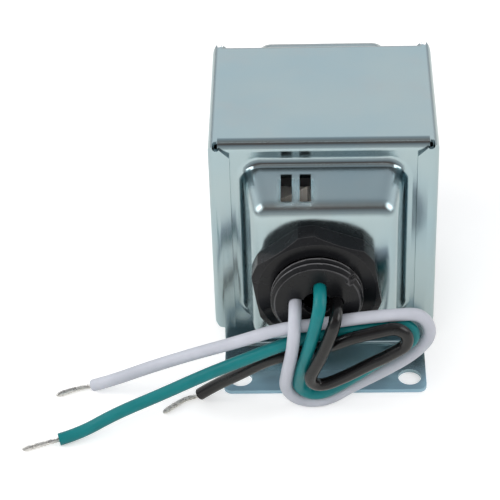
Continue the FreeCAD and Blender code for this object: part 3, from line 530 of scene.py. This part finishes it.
def nylon_finish(name, color, roughness, edge):
    """Moulded plastic: its colour, its roughness and the radius of its edges."""
    finish, tree, shader = new_finish(name, 0.0)
    shader.inputs["Specular IOR Level"].default_value = NYLON_GLOSS
    mottled = noise(tree, scale=210.0, detail=4.0)
    skin = between(tree, mottled, tuple(c * NYLON_SHADE for c in color), color)
    rounded = softened(tree, edge)
    facing = node(tree, "ShaderNodeVectorMath", [(0, rounded), (1, own_normal(tree))],
                  operation="DOT_PRODUCT").outputs["Value"]
    # painted highlight along edges: grey where the rounded direction turns away
    highlit_edge = ranged(tree, facing, EDGE_HIGHLIGHT, 0.0, *EDGE_RANGE)
    # the thread's painted highlight, read from the mesh's attribute
    highlight_share = node(tree, "ShaderNodeAttribute", attribute_name="painted_highlight").outputs["Fac"]
    # the brighter of the two painted highlights
    wear_and_highlight = math_node(tree, "MAXIMUM", highlight_share, highlit_edge)
    tree.links.new(mixed(tree, "RGBA", wear_and_highlight, skin, PAINTED_HIGHLIGHT_COLOR), shader.inputs["Base Color"])
    rough = ranged(tree, mottled, roughness - NYLON_SMOOTHER, roughness + NYLON_ROUGHER)
    tree.links.new(rough, shader.inputs["Roughness"])
    pebble = noise(tree, scale=3200.0, detail=2.0)
    bumped(tree, shader, pebble, PEBBLE_STRENGTH, PEBBLE_DEPTH, rounded)
    return finish


nylon = nylon_finish("black_nylon", (0.0095, 0.010, 0.0115), 0.25, 0.25 * MM)
dress("locknut", nylon)
print("nylon on the locknut")

# %% [markdown]
# The nipple's solid is a plain tube. The real one carries a conduit thread. It could be
# cut by a helical sweep, but where a sweep runs out at a chamfer or a notch, thin and
# broken faces come easily. Here the nipple is drawn as rings of points instead: each
# ring has its place along the axis and a radius for every angle. The thread comes from
# the radius. It falls and rises once for each pitch, and the phase moves on with the
# angle, which is what makes a helix. The chamfer and the notch limit the same radius.

# %% The thread's rule
nipple_low, nipple_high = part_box("nipple")
nut_low, nut_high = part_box("locknut")
NIPPLE_X = (nipple_low.x + nipple_high.x) / 2
NIPPLE_Z = (nipple_low.z + nipple_high.z) / 2
NIPPLE_FRONT = nipple_low.y
ROW_STEP = 0.1 * MM
THREAD_RADIUS = 10.65 * MM
THREAD_PITCH = 1.814 * MM
THREAD_DEPTH = 1.0 * MM
ROOT_RADIUS = THREAD_RADIUS - THREAD_DEPTH
# how steep the flanks are, and how much of their rise the flat crest takes off
FLANK_SLOPE, CREST_LEVEL = 3.0, 0.35
END_CHAMFER = 0.9 * MM
NOTCH_ANGLE = math.radians(38.5)
NOTCH_HALF = math.radians(4.8)
NOTCH_DEPTH = 1.7 * MM
NOTCH_LENGTH = 3.6 * MM


def thread_phase(angle, from_front):
    """Where a spot lies in its turn of the thread: 0 and 1 on the crest, 0.5 in the groove."""
    return (from_front / THREAD_PITCH + angle / math.tau) % 1.0


def thread_radius(angle, y):
    """Radius of the threaded surface at an angle and a place along the axis."""
    from_front = y - NIPPLE_FRONT
    from_crest = 0.5 - abs(thread_phase(angle, from_front) - 0.5)
    groove = max(0.0, min(1.0, from_crest * FLANK_SLOPE - CREST_LEVEL))
    radius = THREAD_RADIUS - THREAD_DEPTH * groove
    radius = min(radius, THREAD_RADIUS - END_CHAMFER + from_front)
    if y > nut_low.y - ROW_STEP:
        radius = ROOT_RADIUS
    if abs(angle - NOTCH_ANGLE) < NOTCH_HALF and from_front < NOTCH_LENGTH:
        radius = min(radius, THREAD_RADIUS - NOTCH_DEPTH)
    return radius


print("nipple thread:", round((nut_low.y - NIPPLE_FRONT) / THREAD_PITCH, 1), "turns in view")

# %% [markdown]
# The thread's crests carry a painted highlight, and so do the front rim, at half
# strength, and the lit wall of the notch that crosses the first turns. A pattern in space
# couldn't find the crests, but the rule that makes the thread knows where they are, so
# it also says how bright each point's painted highlight is. The notch needs steep walls,
# and even steps round the ring would slant them, so two close angles stand at each of its sides.

# %% Painted highlights on the thread and the notch's sides
CREST_PHASE = 0.11
# the front rim takes half the painted highlight
RIM_HIGHLIGHT = 0.5
NOTCH_WALL = 0.002  # radians
NOTCH_CLEAR = 3 * NOTCH_WALL
RING_POINTS = 360


def crest_highlight(angle, y):
    """How bright a spot's painted highlight is: crests and the notch's lit wall fully, the rim
    half.
    """
    from_front = y - NIPPLE_FRONT
    phase = thread_phase(angle, from_front)
    crest = min(phase, 1.0 - phase) < CREST_PHASE and from_front > END_CHAMFER
    rim = abs(from_front - ROW_STEP) < ROW_STEP
    lit_side = -NOTCH_HALF < angle - NOTCH_ANGLE < 0 and 0 < from_front < NOTCH_LENGTH
    if lit_side or (crest and y < nut_low.y):
        return 1.0
    return RIM_HIGHLIGHT if rim else 0.0


def ring_angles():
    """Even steps round the ring, with two close points at each side of the notch."""
    sides = [NOTCH_ANGLE + side * NOTCH_HALF + step * NOTCH_WALL
             for side in (-1, 1) for step in (-1, 1)]
    even = [math.tau * i / RING_POINTS for i in range(RING_POINTS)]
    clear = [angle for angle in even if all(abs(angle - s) > NOTCH_CLEAR for s in sides)]
    return sorted(clear + sides)


angles = ring_angles()
print("points in a ring:", len(angles))

# %% [markdown]
# The leads leave through a trefoil: a round hub with one lobe for each lead. A Boolean
# could cut it, but rings can take any opening that has one edge in every direction,
# seen from the middle of the nipple, and their faces stay even. The trefoil is such an
# opening, so it is again a radius for each angle: the hub's, or that of the lobe which
# lies in that direction, if the lobe reaches further.

# %% The trefoil opening
HUB_RADIUS = 3.3 * MM
LOBE_RADIUS = 1.75 * MM
LOBES = [(-6.88 * MM, 33.45 * MM), (-1.21 * MM, 38.0 * MM), (2.6 * MM, 33.9 * MM)]


def trefoil_radius(angle):
    """How far the trefoil opening reaches at an angle: its hub or one of its lobes."""
    reach = HUB_RADIUS
    for x, z in LOBES:
        dx, dz = x - NIPPLE_X, z - NIPPLE_Z
        distance = math.hypot(dx, dz)
        away = angle - math.atan2(dz, dx)
        side = distance * math.sin(away)
        if math.cos(away) > 0 and abs(side) < LOBE_RADIUS:
            edge = math.sqrt(LOBE_RADIUS ** 2 - side ** 2)
            reach = max(reach, distance * math.cos(away) + edge)
    return reach


opening = [trefoil_radius(angle) for angle in angles]
print("trefoil reaches", round(max(opening) / MM, 1), "mm from the nipple's middle")

# %% [markdown]
# Now the rings are put in order: across the end wall from the trefoil to the rim,
# along the thread in steps of a tenth of a millimetre, out to the flange that holds
# the nipple from inside, back through the bore, and to the trefoil again from behind.

# %% The rings of the nipple
FLANGE_RADIUS = (nipple_high.x - nipple_low.x) / 2
FLANGE_THICKNESS = 2.0 * MM
END_WALL = 2.0 * MM
BORE_RADIUS = 8.4 * MM
END_SHARES = (0.0, 0.06, 0.5, 0.94, 1.0)


def nipple_rings():
    """All rings in their order, each a list of (place along the axis, radius)."""
    rings = []
    rim = THREAD_RADIUS - END_CHAMFER
    ends = [min(rim, thread_radius(angle, NIPPLE_FRONT)) for angle in angles]
    for share in END_SHARES:
        rings.append([(NIPPLE_FRONT, inner + (outer - inner) * share)
                      for inner, outer in zip(opening, ends)])
    for row in range(1, int((nut_high.y - NIPPLE_FRONT) / ROW_STEP) + 1):
        y = NIPPLE_FRONT + row * ROW_STEP
        rings.append([(y, thread_radius(angle, y)) for angle in angles])
    back, wall_back = nipple_high.y, NIPPLE_FRONT + END_WALL
    flange_front = back - FLANGE_THICKNESS
    for y, radius in ((flange_front, ROOT_RADIUS), (flange_front, FLANGE_RADIUS),
                      (back, FLANGE_RADIUS), (back, BORE_RADIUS), (wall_back, BORE_RADIUS)):
        rings.append([(y, radius)] * len(angles))
    rings.append([(wall_back, inner) for inner in opening])
    return rings


rings = nipple_rings()
print("rings:", len(rings))

# %% [markdown]
# Each ring is joined to the next by a band of four-sided faces, and the last ring to
# the first, which closes the mesh like a tyre. Each point also takes its painted
# highlight with it, as the attribute that the nylon reads. Points near the middle of
# the end wall have none.

# %% The threaded nipple
HIGHLIGHT_FROM = 8.25 * MM


def threaded_nipple():
    """The rings as one closed mesh, with the painted highlight as a point attribute."""
    count = len(angles)
    spots = [(angle, y, radius) for ring in rings for angle, (y, radius) in zip(angles, ring)]
    faces = []
    for i in range(len(rings)):
        for j in range(count):
            k, m = (i + 1) % len(rings), (j + 1) % count
            faces.append((i * count + j, i * count + m, k * count + m, k * count + j))
    mesh = bpy.data.meshes.new("threaded_nipple")
    points = [(NIPPLE_X + radius * math.cos(angle), y, NIPPLE_Z + radius * math.sin(angle))
              for angle, y, radius in spots]
    mesh.from_pydata(points, [], faces)
    # the painted highlight on the crests, the front rim and the notch's lit wall
    painted_highlight = mesh.attributes.new("painted_highlight", "FLOAT", "POINT")
    painted_highlight.data.foreach_set("value", [crest_highlight(angle, y) if radius > HIGHLIGHT_FROM else 0.0
                                     for angle, y, radius in spots])
    work = bmesh.new()
    work.from_mesh(mesh)
    bmesh.ops.recalc_face_normals(work, faces=work.faces)
    work.to_mesh(mesh)
    work.free()
    piece = bpy.data.objects.new("threaded_nipple", mesh)
    bpy.context.collection.objects.link(piece)
    smooth(piece)
    mesh.materials.append(nylon)
    return piece


nipple = threaded_nipple()
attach(nipple, "root")
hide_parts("nipple")
print("nipple:", len(nipple.data.polygons), "faces")

# %% [markdown]
# Lead insulation is extruded vinyl: one colour, a satin gloss, and a surface that is
# smooth but ripples a little, because it cools as it is drawn. Two close tones and a
# wandering roughness are enough to keep it from looking painted. The strands are
# copper dipped in tin: a soft metal with brighter and duller patches.

# %% Insulation and tin
VINYL_GLOSS, BLACK_GLOSS = 0.3, 0.45
VINYL_SMOOTHER, VINYL_ROUGHER = 0.04, 0.06
RIPPLE_STRENGTH, RIPPLE_DEPTH = 0.1, 0.06 * MM
TIN_DULL, TIN_BRIGHT = (0.58, 0.57, 0.55), (0.84, 0.84, 0.82)
TIN_ROUGHNESS = (0.22, 0.42)
TIN_STRENGTH, TIN_DEPTH = 0.3, 0.08 * MM


def vinyl_finish(name, color, shade, roughness, gloss=VINYL_GLOSS):
    """Extruded or moulded soft plastic in two close tones."""
    finish, tree, shader = new_finish(name, 0.0)
    shader.inputs["Specular IOR Level"].default_value = gloss
    clouded(tree, shader, noise(tree, scale=160.0), shade, color,
            roughness - VINYL_SMOOTHER, roughness + VINYL_ROUGHER)
    ripple = noise(tree, scale=900.0, detail=2.0)
    bumped(tree, shader, ripple, RIPPLE_STRENGTH, RIPPLE_DEPTH)
    return finish


def tinned_finish():
    finish, tree, shader = new_finish("tinned_copper", 1.0)
    patches = noise(tree, scale=1100.0)
    clouded(tree, shader, patches, TIN_DULL, TIN_BRIGHT, *TIN_ROUGHNESS)
    bumped(tree, shader, patches, TIN_STRENGTH, TIN_DEPTH)
    return finish


insulation = {
    "white": vinyl_finish("white_insulation", (0.54, 0.56, 0.62), (0.48, 0.50, 0.56), 0.38),
    "green": vinyl_finish("green_insulation", (0.003, 0.195, 0.205), (0.002, 0.16, 0.17), 0.36),
    "black": vinyl_finish("black_insulation", (0.0075, 0.0075, 0.008), (0.005, 0.005, 0.0055),
                          0.24, BLACK_GLOSS),
}
tinned = tinned_finish()
print("insulation:", ", ".join(insulation))

# %% [markdown]
# A lead is a free cord: its length from end to end and the place where it leaves the
# nipple are listed here, its diameter above, and the strands that it carries at its
# bare end are grown. The strands read their route from a bare curve, which goes away
# once they are grown.

LEADS = {
    # length, and the place where it leaves the nipple, in millimetres
    "white": (193.5, (-6.9, -44.9, 33.5)),
    "green": (201.0, (-1.3, -44.9, 38.0)),
    "black": (138.8, (2.6, -44.9, 34.0)),
}
for color, (length, leaves) in LEADS.items():
    route = nurbs_curve(f"strand_route_{color}", STRAND_ROUTES[color])
    bare = grown(f"strands_{color}", strands, {"Route": route, "Material": tinned})
    bpy.data.objects.remove(route)
    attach(bare, "root")
    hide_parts(f"tinned_end_{color}")
    lead = leads[color]
    lead.data.materials.append(insulation[color])
    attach(lead, "root")
    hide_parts(f"lead_{color}")
    print(color, "lead of", length, "mm with", len(bare.data.polygons), "faces of strands")

# %% [markdown]
# At the back two binding-head screws hold the secondary wires. Both have the same head,
# a short drum with a flattened dome, cut across by a slot, so one Geometry Nodes tree
# makes it, and the place and the turn of the slot are its inputs. The drum and the
# dome are joined and the slot is cut by exact Booleans, which keep its edges crisp.

# %% The screw head's tree
HEAD_HEIGHT = 2.2 * MM
HEAD_SIDES, DOME_RINGS = 64, 24
# the drum's share of the head's height, and the dome's of its radius
DRUM_SHARE, DOME_SHARE = 0.6, 0.998
# the cutter, in head radii and in slot depths
CUTTER_LENGTH, CUTTER_HEIGHT = 3.0, 2.0
SCREW_INPUTS = [
    ("Place", "NodeSocketVector", None),
    ("Slot Turn", "NodeSocketFloat", 0.0),
    ("Head Radius", "NodeSocketFloat", 3.4 * MM),
    ("Head Height", "NodeSocketFloat", HEAD_HEIGHT),
    ("Slot Width", "NodeSocketFloat", 0.9 * MM),
    ("Slot Depth", "NodeSocketFloat", 0.9 * MM),
]


def moved(tree, geometry, **changes):
    """The geometry with its translation, rotation or scale set."""
    links = [(key.capitalize(), value) for key, value in changes.items()]
    return node(tree, "GeometryNodeTransform", [("Geometry", geometry), *links]).outputs[0]


def screw_tree():
    tree, given = new_tree("binding_screw", SCREW_INPUTS)
    radius, height = given["Head Radius"], given["Head Height"]
    drum_height = product(tree, height, DRUM_SHARE)
    drum = node(tree, "GeometryNodeMeshCylinder", [("Vertices", HEAD_SIDES), ("Side Segments", 1),
                                                   ("Radius", radius), ("Depth", drum_height)])
    ball = node(tree, "GeometryNodeMeshUVSphere", [("Segments", HEAD_SIDES),
                                                   ("Rings", DOME_RINGS), ("Radius", radius)])
    flat = math_node(tree, "DIVIDE", math_node(tree, "SUBTRACT", height, drum_height), radius)
    flatten = node(tree, "ShaderNodeCombineXYZ", [("X", DOME_SHARE), ("Y", DOME_SHARE),
                                                  ("Z", flat)]).outputs[0]
    head = node(tree, "GeometryNodeMeshBoolean", operation="UNION", solver="EXACT")
    for part in (moved(tree, drum.outputs["Mesh"],
                       translation=upward(tree, product(tree, drum_height, 0.5))),
                 moved(tree, ball.outputs["Mesh"], translation=upward(tree, drum_height),
                       scale=flatten)):
        tree.links.new(part, head.inputs["Mesh 2"])
    size = node(tree, "ShaderNodeCombineXYZ",
                [("X", product(tree, radius, CUTTER_LENGTH)), ("Y", given["Slot Width"]),
                 ("Z", product(tree, given["Slot Depth"], CUTTER_HEIGHT))])
    cutter = node(tree, "GeometryNodeMeshCube", [("Size", size.outputs[0])])
    slot = moved(tree, cutter.outputs["Mesh"], translation=upward(tree, height),
                 rotation=upward(tree, given["Slot Turn"]))
    cut = node(tree, "GeometryNodeMeshBoolean", [("Mesh 1", head.outputs["Mesh"]),
                                                 ("Mesh 2", slot)],
               operation="DIFFERENCE", solver="EXACT")
    end_tree(tree, given, moved(tree, cut.outputs["Mesh"], translation=given["Place"],
                                rotation=(-math.pi / 2, 0, 0)))
    return tree


screw_nodes = screw_tree()
print("screw tree:", len(screw_nodes.nodes), "nodes")

# %% [markdown]
# Small steel and brass pieces share one finish, a drawn or turned metal whose wear
# wanders between two tones and two glosses. The screws sit on the terminal plates, so
# their place is read from the solids that they stand for.

# %% Terminal screws
METAL_SHADE = 0.8
METAL_SMOOTHER, METAL_ROUGHER = 0.06, 0.08
WEAR_STRENGTH, WEAR_DEPTH = 0.08, 0.05 * MM


def metal_finish(name, color, roughness):
    """Turned or drawn metal with a little wear."""
    finish, tree, shader = new_finish(name, 1.0)
    wear_and_highlight = noise(tree, scale=420.0, detail=4.0)
    clouded(tree, shader, wear_and_highlight, tuple(c * METAL_SHADE for c in color), color,
            roughness - METAL_SMOOTHER, roughness + METAL_ROUGHER)
    bumped(tree, shader, wear_and_highlight, WEAR_STRENGTH, WEAR_DEPTH)
    return finish


screw_steel = metal_finish("screw_steel", (0.60, 0.61, 0.62), 0.26)
SLOT_TURNS = {"left": 0.35, "right": -0.6}  # radians
for side, turn in SLOT_TURNS.items():
    low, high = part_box(f"terminal_screw_{side}")
    place = ((low.x + high.x) / 2, high.y - HEAD_HEIGHT, (low.z + high.z) / 2)
    head = grown(f"screw_head_{side}", screw_nodes,
                 {"Place": place, "Slot Turn": turn, "Material": screw_steel})
    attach(head, "root")
    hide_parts(f"terminal_screw_{side}")
print("screw heads:", len(SLOT_TURNS))

# %% [markdown]
# The other pieces keep their solids and only need a finish: brass terminal plates on
# a block of dark moulding compound, and inside the case the core, the bobbin, copper
# windings, paper and tape. A little of them shows through the slots. Kraft paper is a
# mat of fibres, so its noise is drawn out upwards and also lifts its surface.

# %% Finishes of the remaining nodes
PAPER_DARK, PAPER_PALE = (0.66, 0.60, 0.52), (0.80, 0.77, 0.72)
PAPER_ROUGHNESS = (0.7, 0.9)
FIBRE_STRENGTH, FIBRE_DEPTH = 0.3, 0.1 * MM


def paper_finish():
    finish, tree, shader = new_finish("kraft_paper", 0.0)
    fibres = noise(tree, scale=1300.0, detail=5.0, roughness=0.65, stretch=(1, 1, 0.3))
    clouded(tree, shader, fibres, PAPER_DARK, PAPER_PALE, *PAPER_ROUGHNESS)
    bumped(tree, shader, fibres, FIBRE_STRENGTH, FIBRE_DEPTH)
    return finish


FINISHES = [
    (metal_finish("terminal_brass", (0.62, 0.52, 0.28), 0.3),
     ["terminal_plate_left", "terminal_plate_right"]),
    (metal_finish("silicon_steel", (0.30, 0.31, 0.33), 0.45),
     ["core_e_laminations", "core_i_laminations"]),
    (metal_finish("magnet_wire", (0.50, 0.18, 0.07), 0.3),
     ["primary_winding", "secondary_winding", "primary_wire_start", "primary_wire_finish",
      "secondary_wire_left", "secondary_wire_right"]),
    (nylon_finish("phenolic", (0.018, 0.016, 0.015), 0.38, 0.3 * MM), ["terminal_block"]),
    (vinyl_finish("bobbin_nylon", (0.82, 0.81, 0.77), (0.76, 0.75, 0.70), 0.5), ["bobbin"]),
    (vinyl_finish("yellow_tape", (0.78, 0.62, 0.30), (0.70, 0.52, 0.22), 0.3), ["coil_tape"]),
    (vinyl_finish("splice_vinyl", (0.22, 0.22, 0.25), (0.18, 0.18, 0.20), 0.4),
     ["splice_white", "splice_black"]),
    (vinyl_finish("cutoff_case", (0.50, 0.50, 0.47), (0.44, 0.44, 0.41), 0.4),
     ["thermal_cutoff"]),
    (paper_finish(), ["winding_barrier", "insulation_paper"]),
    (tinned, ["ground_ring_terminal"]),
    (screw_steel, ["ground_screw"]),
]
for finish, names in FINISHES:
    for name in names:
        dress(name, finish)
print("finished nodes:", sum(len(names) for finish, names in FINISHES))

# %% [markdown]
# The photograph was taken on a white sweep. A floor bright enough to look white would
# take strong lamps, and they would bleach the object. So the floor is pale paper that
# glows a little for the camera, and still keeps the object's shadow. The upright
# plates mirror it, so in reflections it glows half as much and warmer, which gives
# them their grey with a touch of brown.

# %% The floor
FLOOR_HALF = 2.0
SWEEP_COLOR, SWEEP_ROUGHNESS = (0.86, 0.86, 0.86, 1), 0.9
FLOOR_GLOW, MIRRORED_SHARE = 0.36, 0.5
WHITE, WARM = (1, 1, 1), (1, 0.96, 0.72)


def pale_floor():
    mesh = bpy.data.meshes.new("floor")
    corners = [(x * FLOOR_HALF, y * FLOOR_HALF, 0)
               for x, y in ((-1, -1), (1, -1), (1, 1), (-1, 1))]
    mesh.from_pydata(corners, [], [(0, 1, 2, 3)])
    floor = bpy.data.objects.new("floor", mesh)
    bpy.context.collection.objects.link(floor)
    finish, tree, shader = new_finish("floor_paper", 0.0)
    shader.inputs["Base Color"].default_value = SWEEP_COLOR
    shader.inputs["Roughness"].default_value = SWEEP_ROUGHNESS
    shader.inputs["Specular IOR Level"].default_value = 0.0
    ray = node(tree, "ShaderNodeLightPath").outputs
    seen = math_node(tree, "MAXIMUM", ray["Is Camera Ray"],
                     product(tree, ray["Is Glossy Ray"], MIRRORED_SHARE))
    tree.links.new(mixed(tree, "RGBA", ray["Is Glossy Ray"], WHITE, WARM),
                   shader.inputs["Emission Color"])
    tree.links.new(product(tree, seen, FLOOR_GLOW), shader.inputs["Emission Strength"])
    mesh.materials.append(finish)
    floor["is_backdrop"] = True


pale_floor()
print("floor of", 2 * FLOOR_HALF, "m")

# %% [markdown]
# Two soft boxes hang at the left and the right and make the bright spots on the
# bulge's corners, and a thin strip above the front draws a fine line on round edges.
# A wide wash in front lights the leads, the nipple and the floor. Zinc would mirror it
# as one large pale patch over the front plate, so it is hidden from glossy rays.

# %% The lamps
MIDDLE = Vector((0, -0.02, 0.03))
LAMPS = [
    # name, place, size across and up in m, power in W, mirrored by the metal
    ("lamp_left", (-0.66, -0.06, 0.48), (0.46, 0.46), 2.0, True),
    ("lamp_right", (0.66, -0.06, 0.48), (0.46, 0.46), 1.9, True),
    ("lamp_strip", (0.0, -0.30, 0.88), (0.6, 0.03), 0.06, True),
    ("lamp_wash", (-0.25, -0.58, 0.66), (0.9, 0.7), 4.4, False),
]
for name, place, size, power, mirrored in LAMPS:
    data = bpy.data.lights.new(name, "AREA")
    data.shape = "RECTANGLE"
    data.size, data.size_y = size
    data.energy = power
    lamp = bpy.data.objects.new(name, data)
    lamp.location = place
    lamp.rotation_euler = (MIDDLE - Vector(place)).to_track_quat("-Z", "Y").to_euler()
    lamp.visible_glossy = mirrored
    bpy.context.collection.objects.link(lamp)
print("lamps:", len(LAMPS))

# %% [markdown]
# Polished metal shows its surroundings and hardly any colour of its own, so the sky is
# what models the case. An evenly bright sky would leave it flat and white. Here the
# light changes along one arc: from the horizon behind the object, over the top, to the
# horizon in front. The top mirrors the bright band at the back, and the bulge's slope
# and the bends mirror the dark bands overhead and in front. To the camera the sky is
# white, as the sweep is.

# %% The sky
SKY = [
    (0.0, (0.50, 0.50, 0.52)), (0.035, (0.58, 0.58, 0.60)), (0.09, (0.93, 0.95, 0.96)),
    (0.24, (0.95, 0.97, 0.98)), (0.31, (0.62, 0.65, 0.68)), (0.37, (0.38, 0.41, 0.44)),
    (0.50, (0.36, 0.35, 0.35)), (0.58, (0.28, 0.25, 0.24)), (0.65, (0.17, 0.13, 0.12)),
    (0.72, (0.13, 0.10, 0.09)), (0.77, (0.24, 0.24, 0.25)), (0.82, (0.34, 0.36, 0.38)),
    (0.90, (0.50, 0.50, 0.50)), (1.0, (0.72, 0.72, 0.72)),
]


def studio_world():
    """A sky whose light follows one arc: horizon behind, zenith, horizon in front."""
    world = bpy.data.worlds.new("studio")
    world.use_nodes = True
    tree = world.node_tree
    way = node(tree, "ShaderNodeTexCoord").outputs["Generated"]
    axes = node(tree, "ShaderNodeSeparateXYZ", [("Vector", way)]).outputs
    arc = math_node(tree, "ARCTAN2", math_node(tree, "ABSOLUTE", axes["Z"]), axes["Y"])
    ramp = node(tree, "ShaderNodeValToRGB", [("Fac", math_node(tree, "DIVIDE", arc, math.pi))])
    steps = ramp.color_ramp.elements
    steps[0].color = (*SKY[0][1], 1)
    steps[1].color = (*SKY[-1][1], 1)
    for spot, color in SKY[1:-1]:
        steps.new(spot).color = (*color, 1)
    seen = node(tree, "ShaderNodeLightPath").outputs["Is Camera Ray"]
    color = mixed(tree, "RGBA", seen, ramp.outputs["Color"], WHITE)
    tree.links.new(color, tree.nodes["Background"].inputs["Color"])
    bpy.context.scene.world = world


studio_world()
bpy.context.scene.view_settings.view_transform = "Standard"
print("sky steps:", len(SKY))

# %% [markdown]
# Last, the box of the dressed model, without the floor, is printed in millimetres.

# %% Sizes
low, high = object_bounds()
print("visual box in mm:", [round(v / MM, 1) for v in high - low])
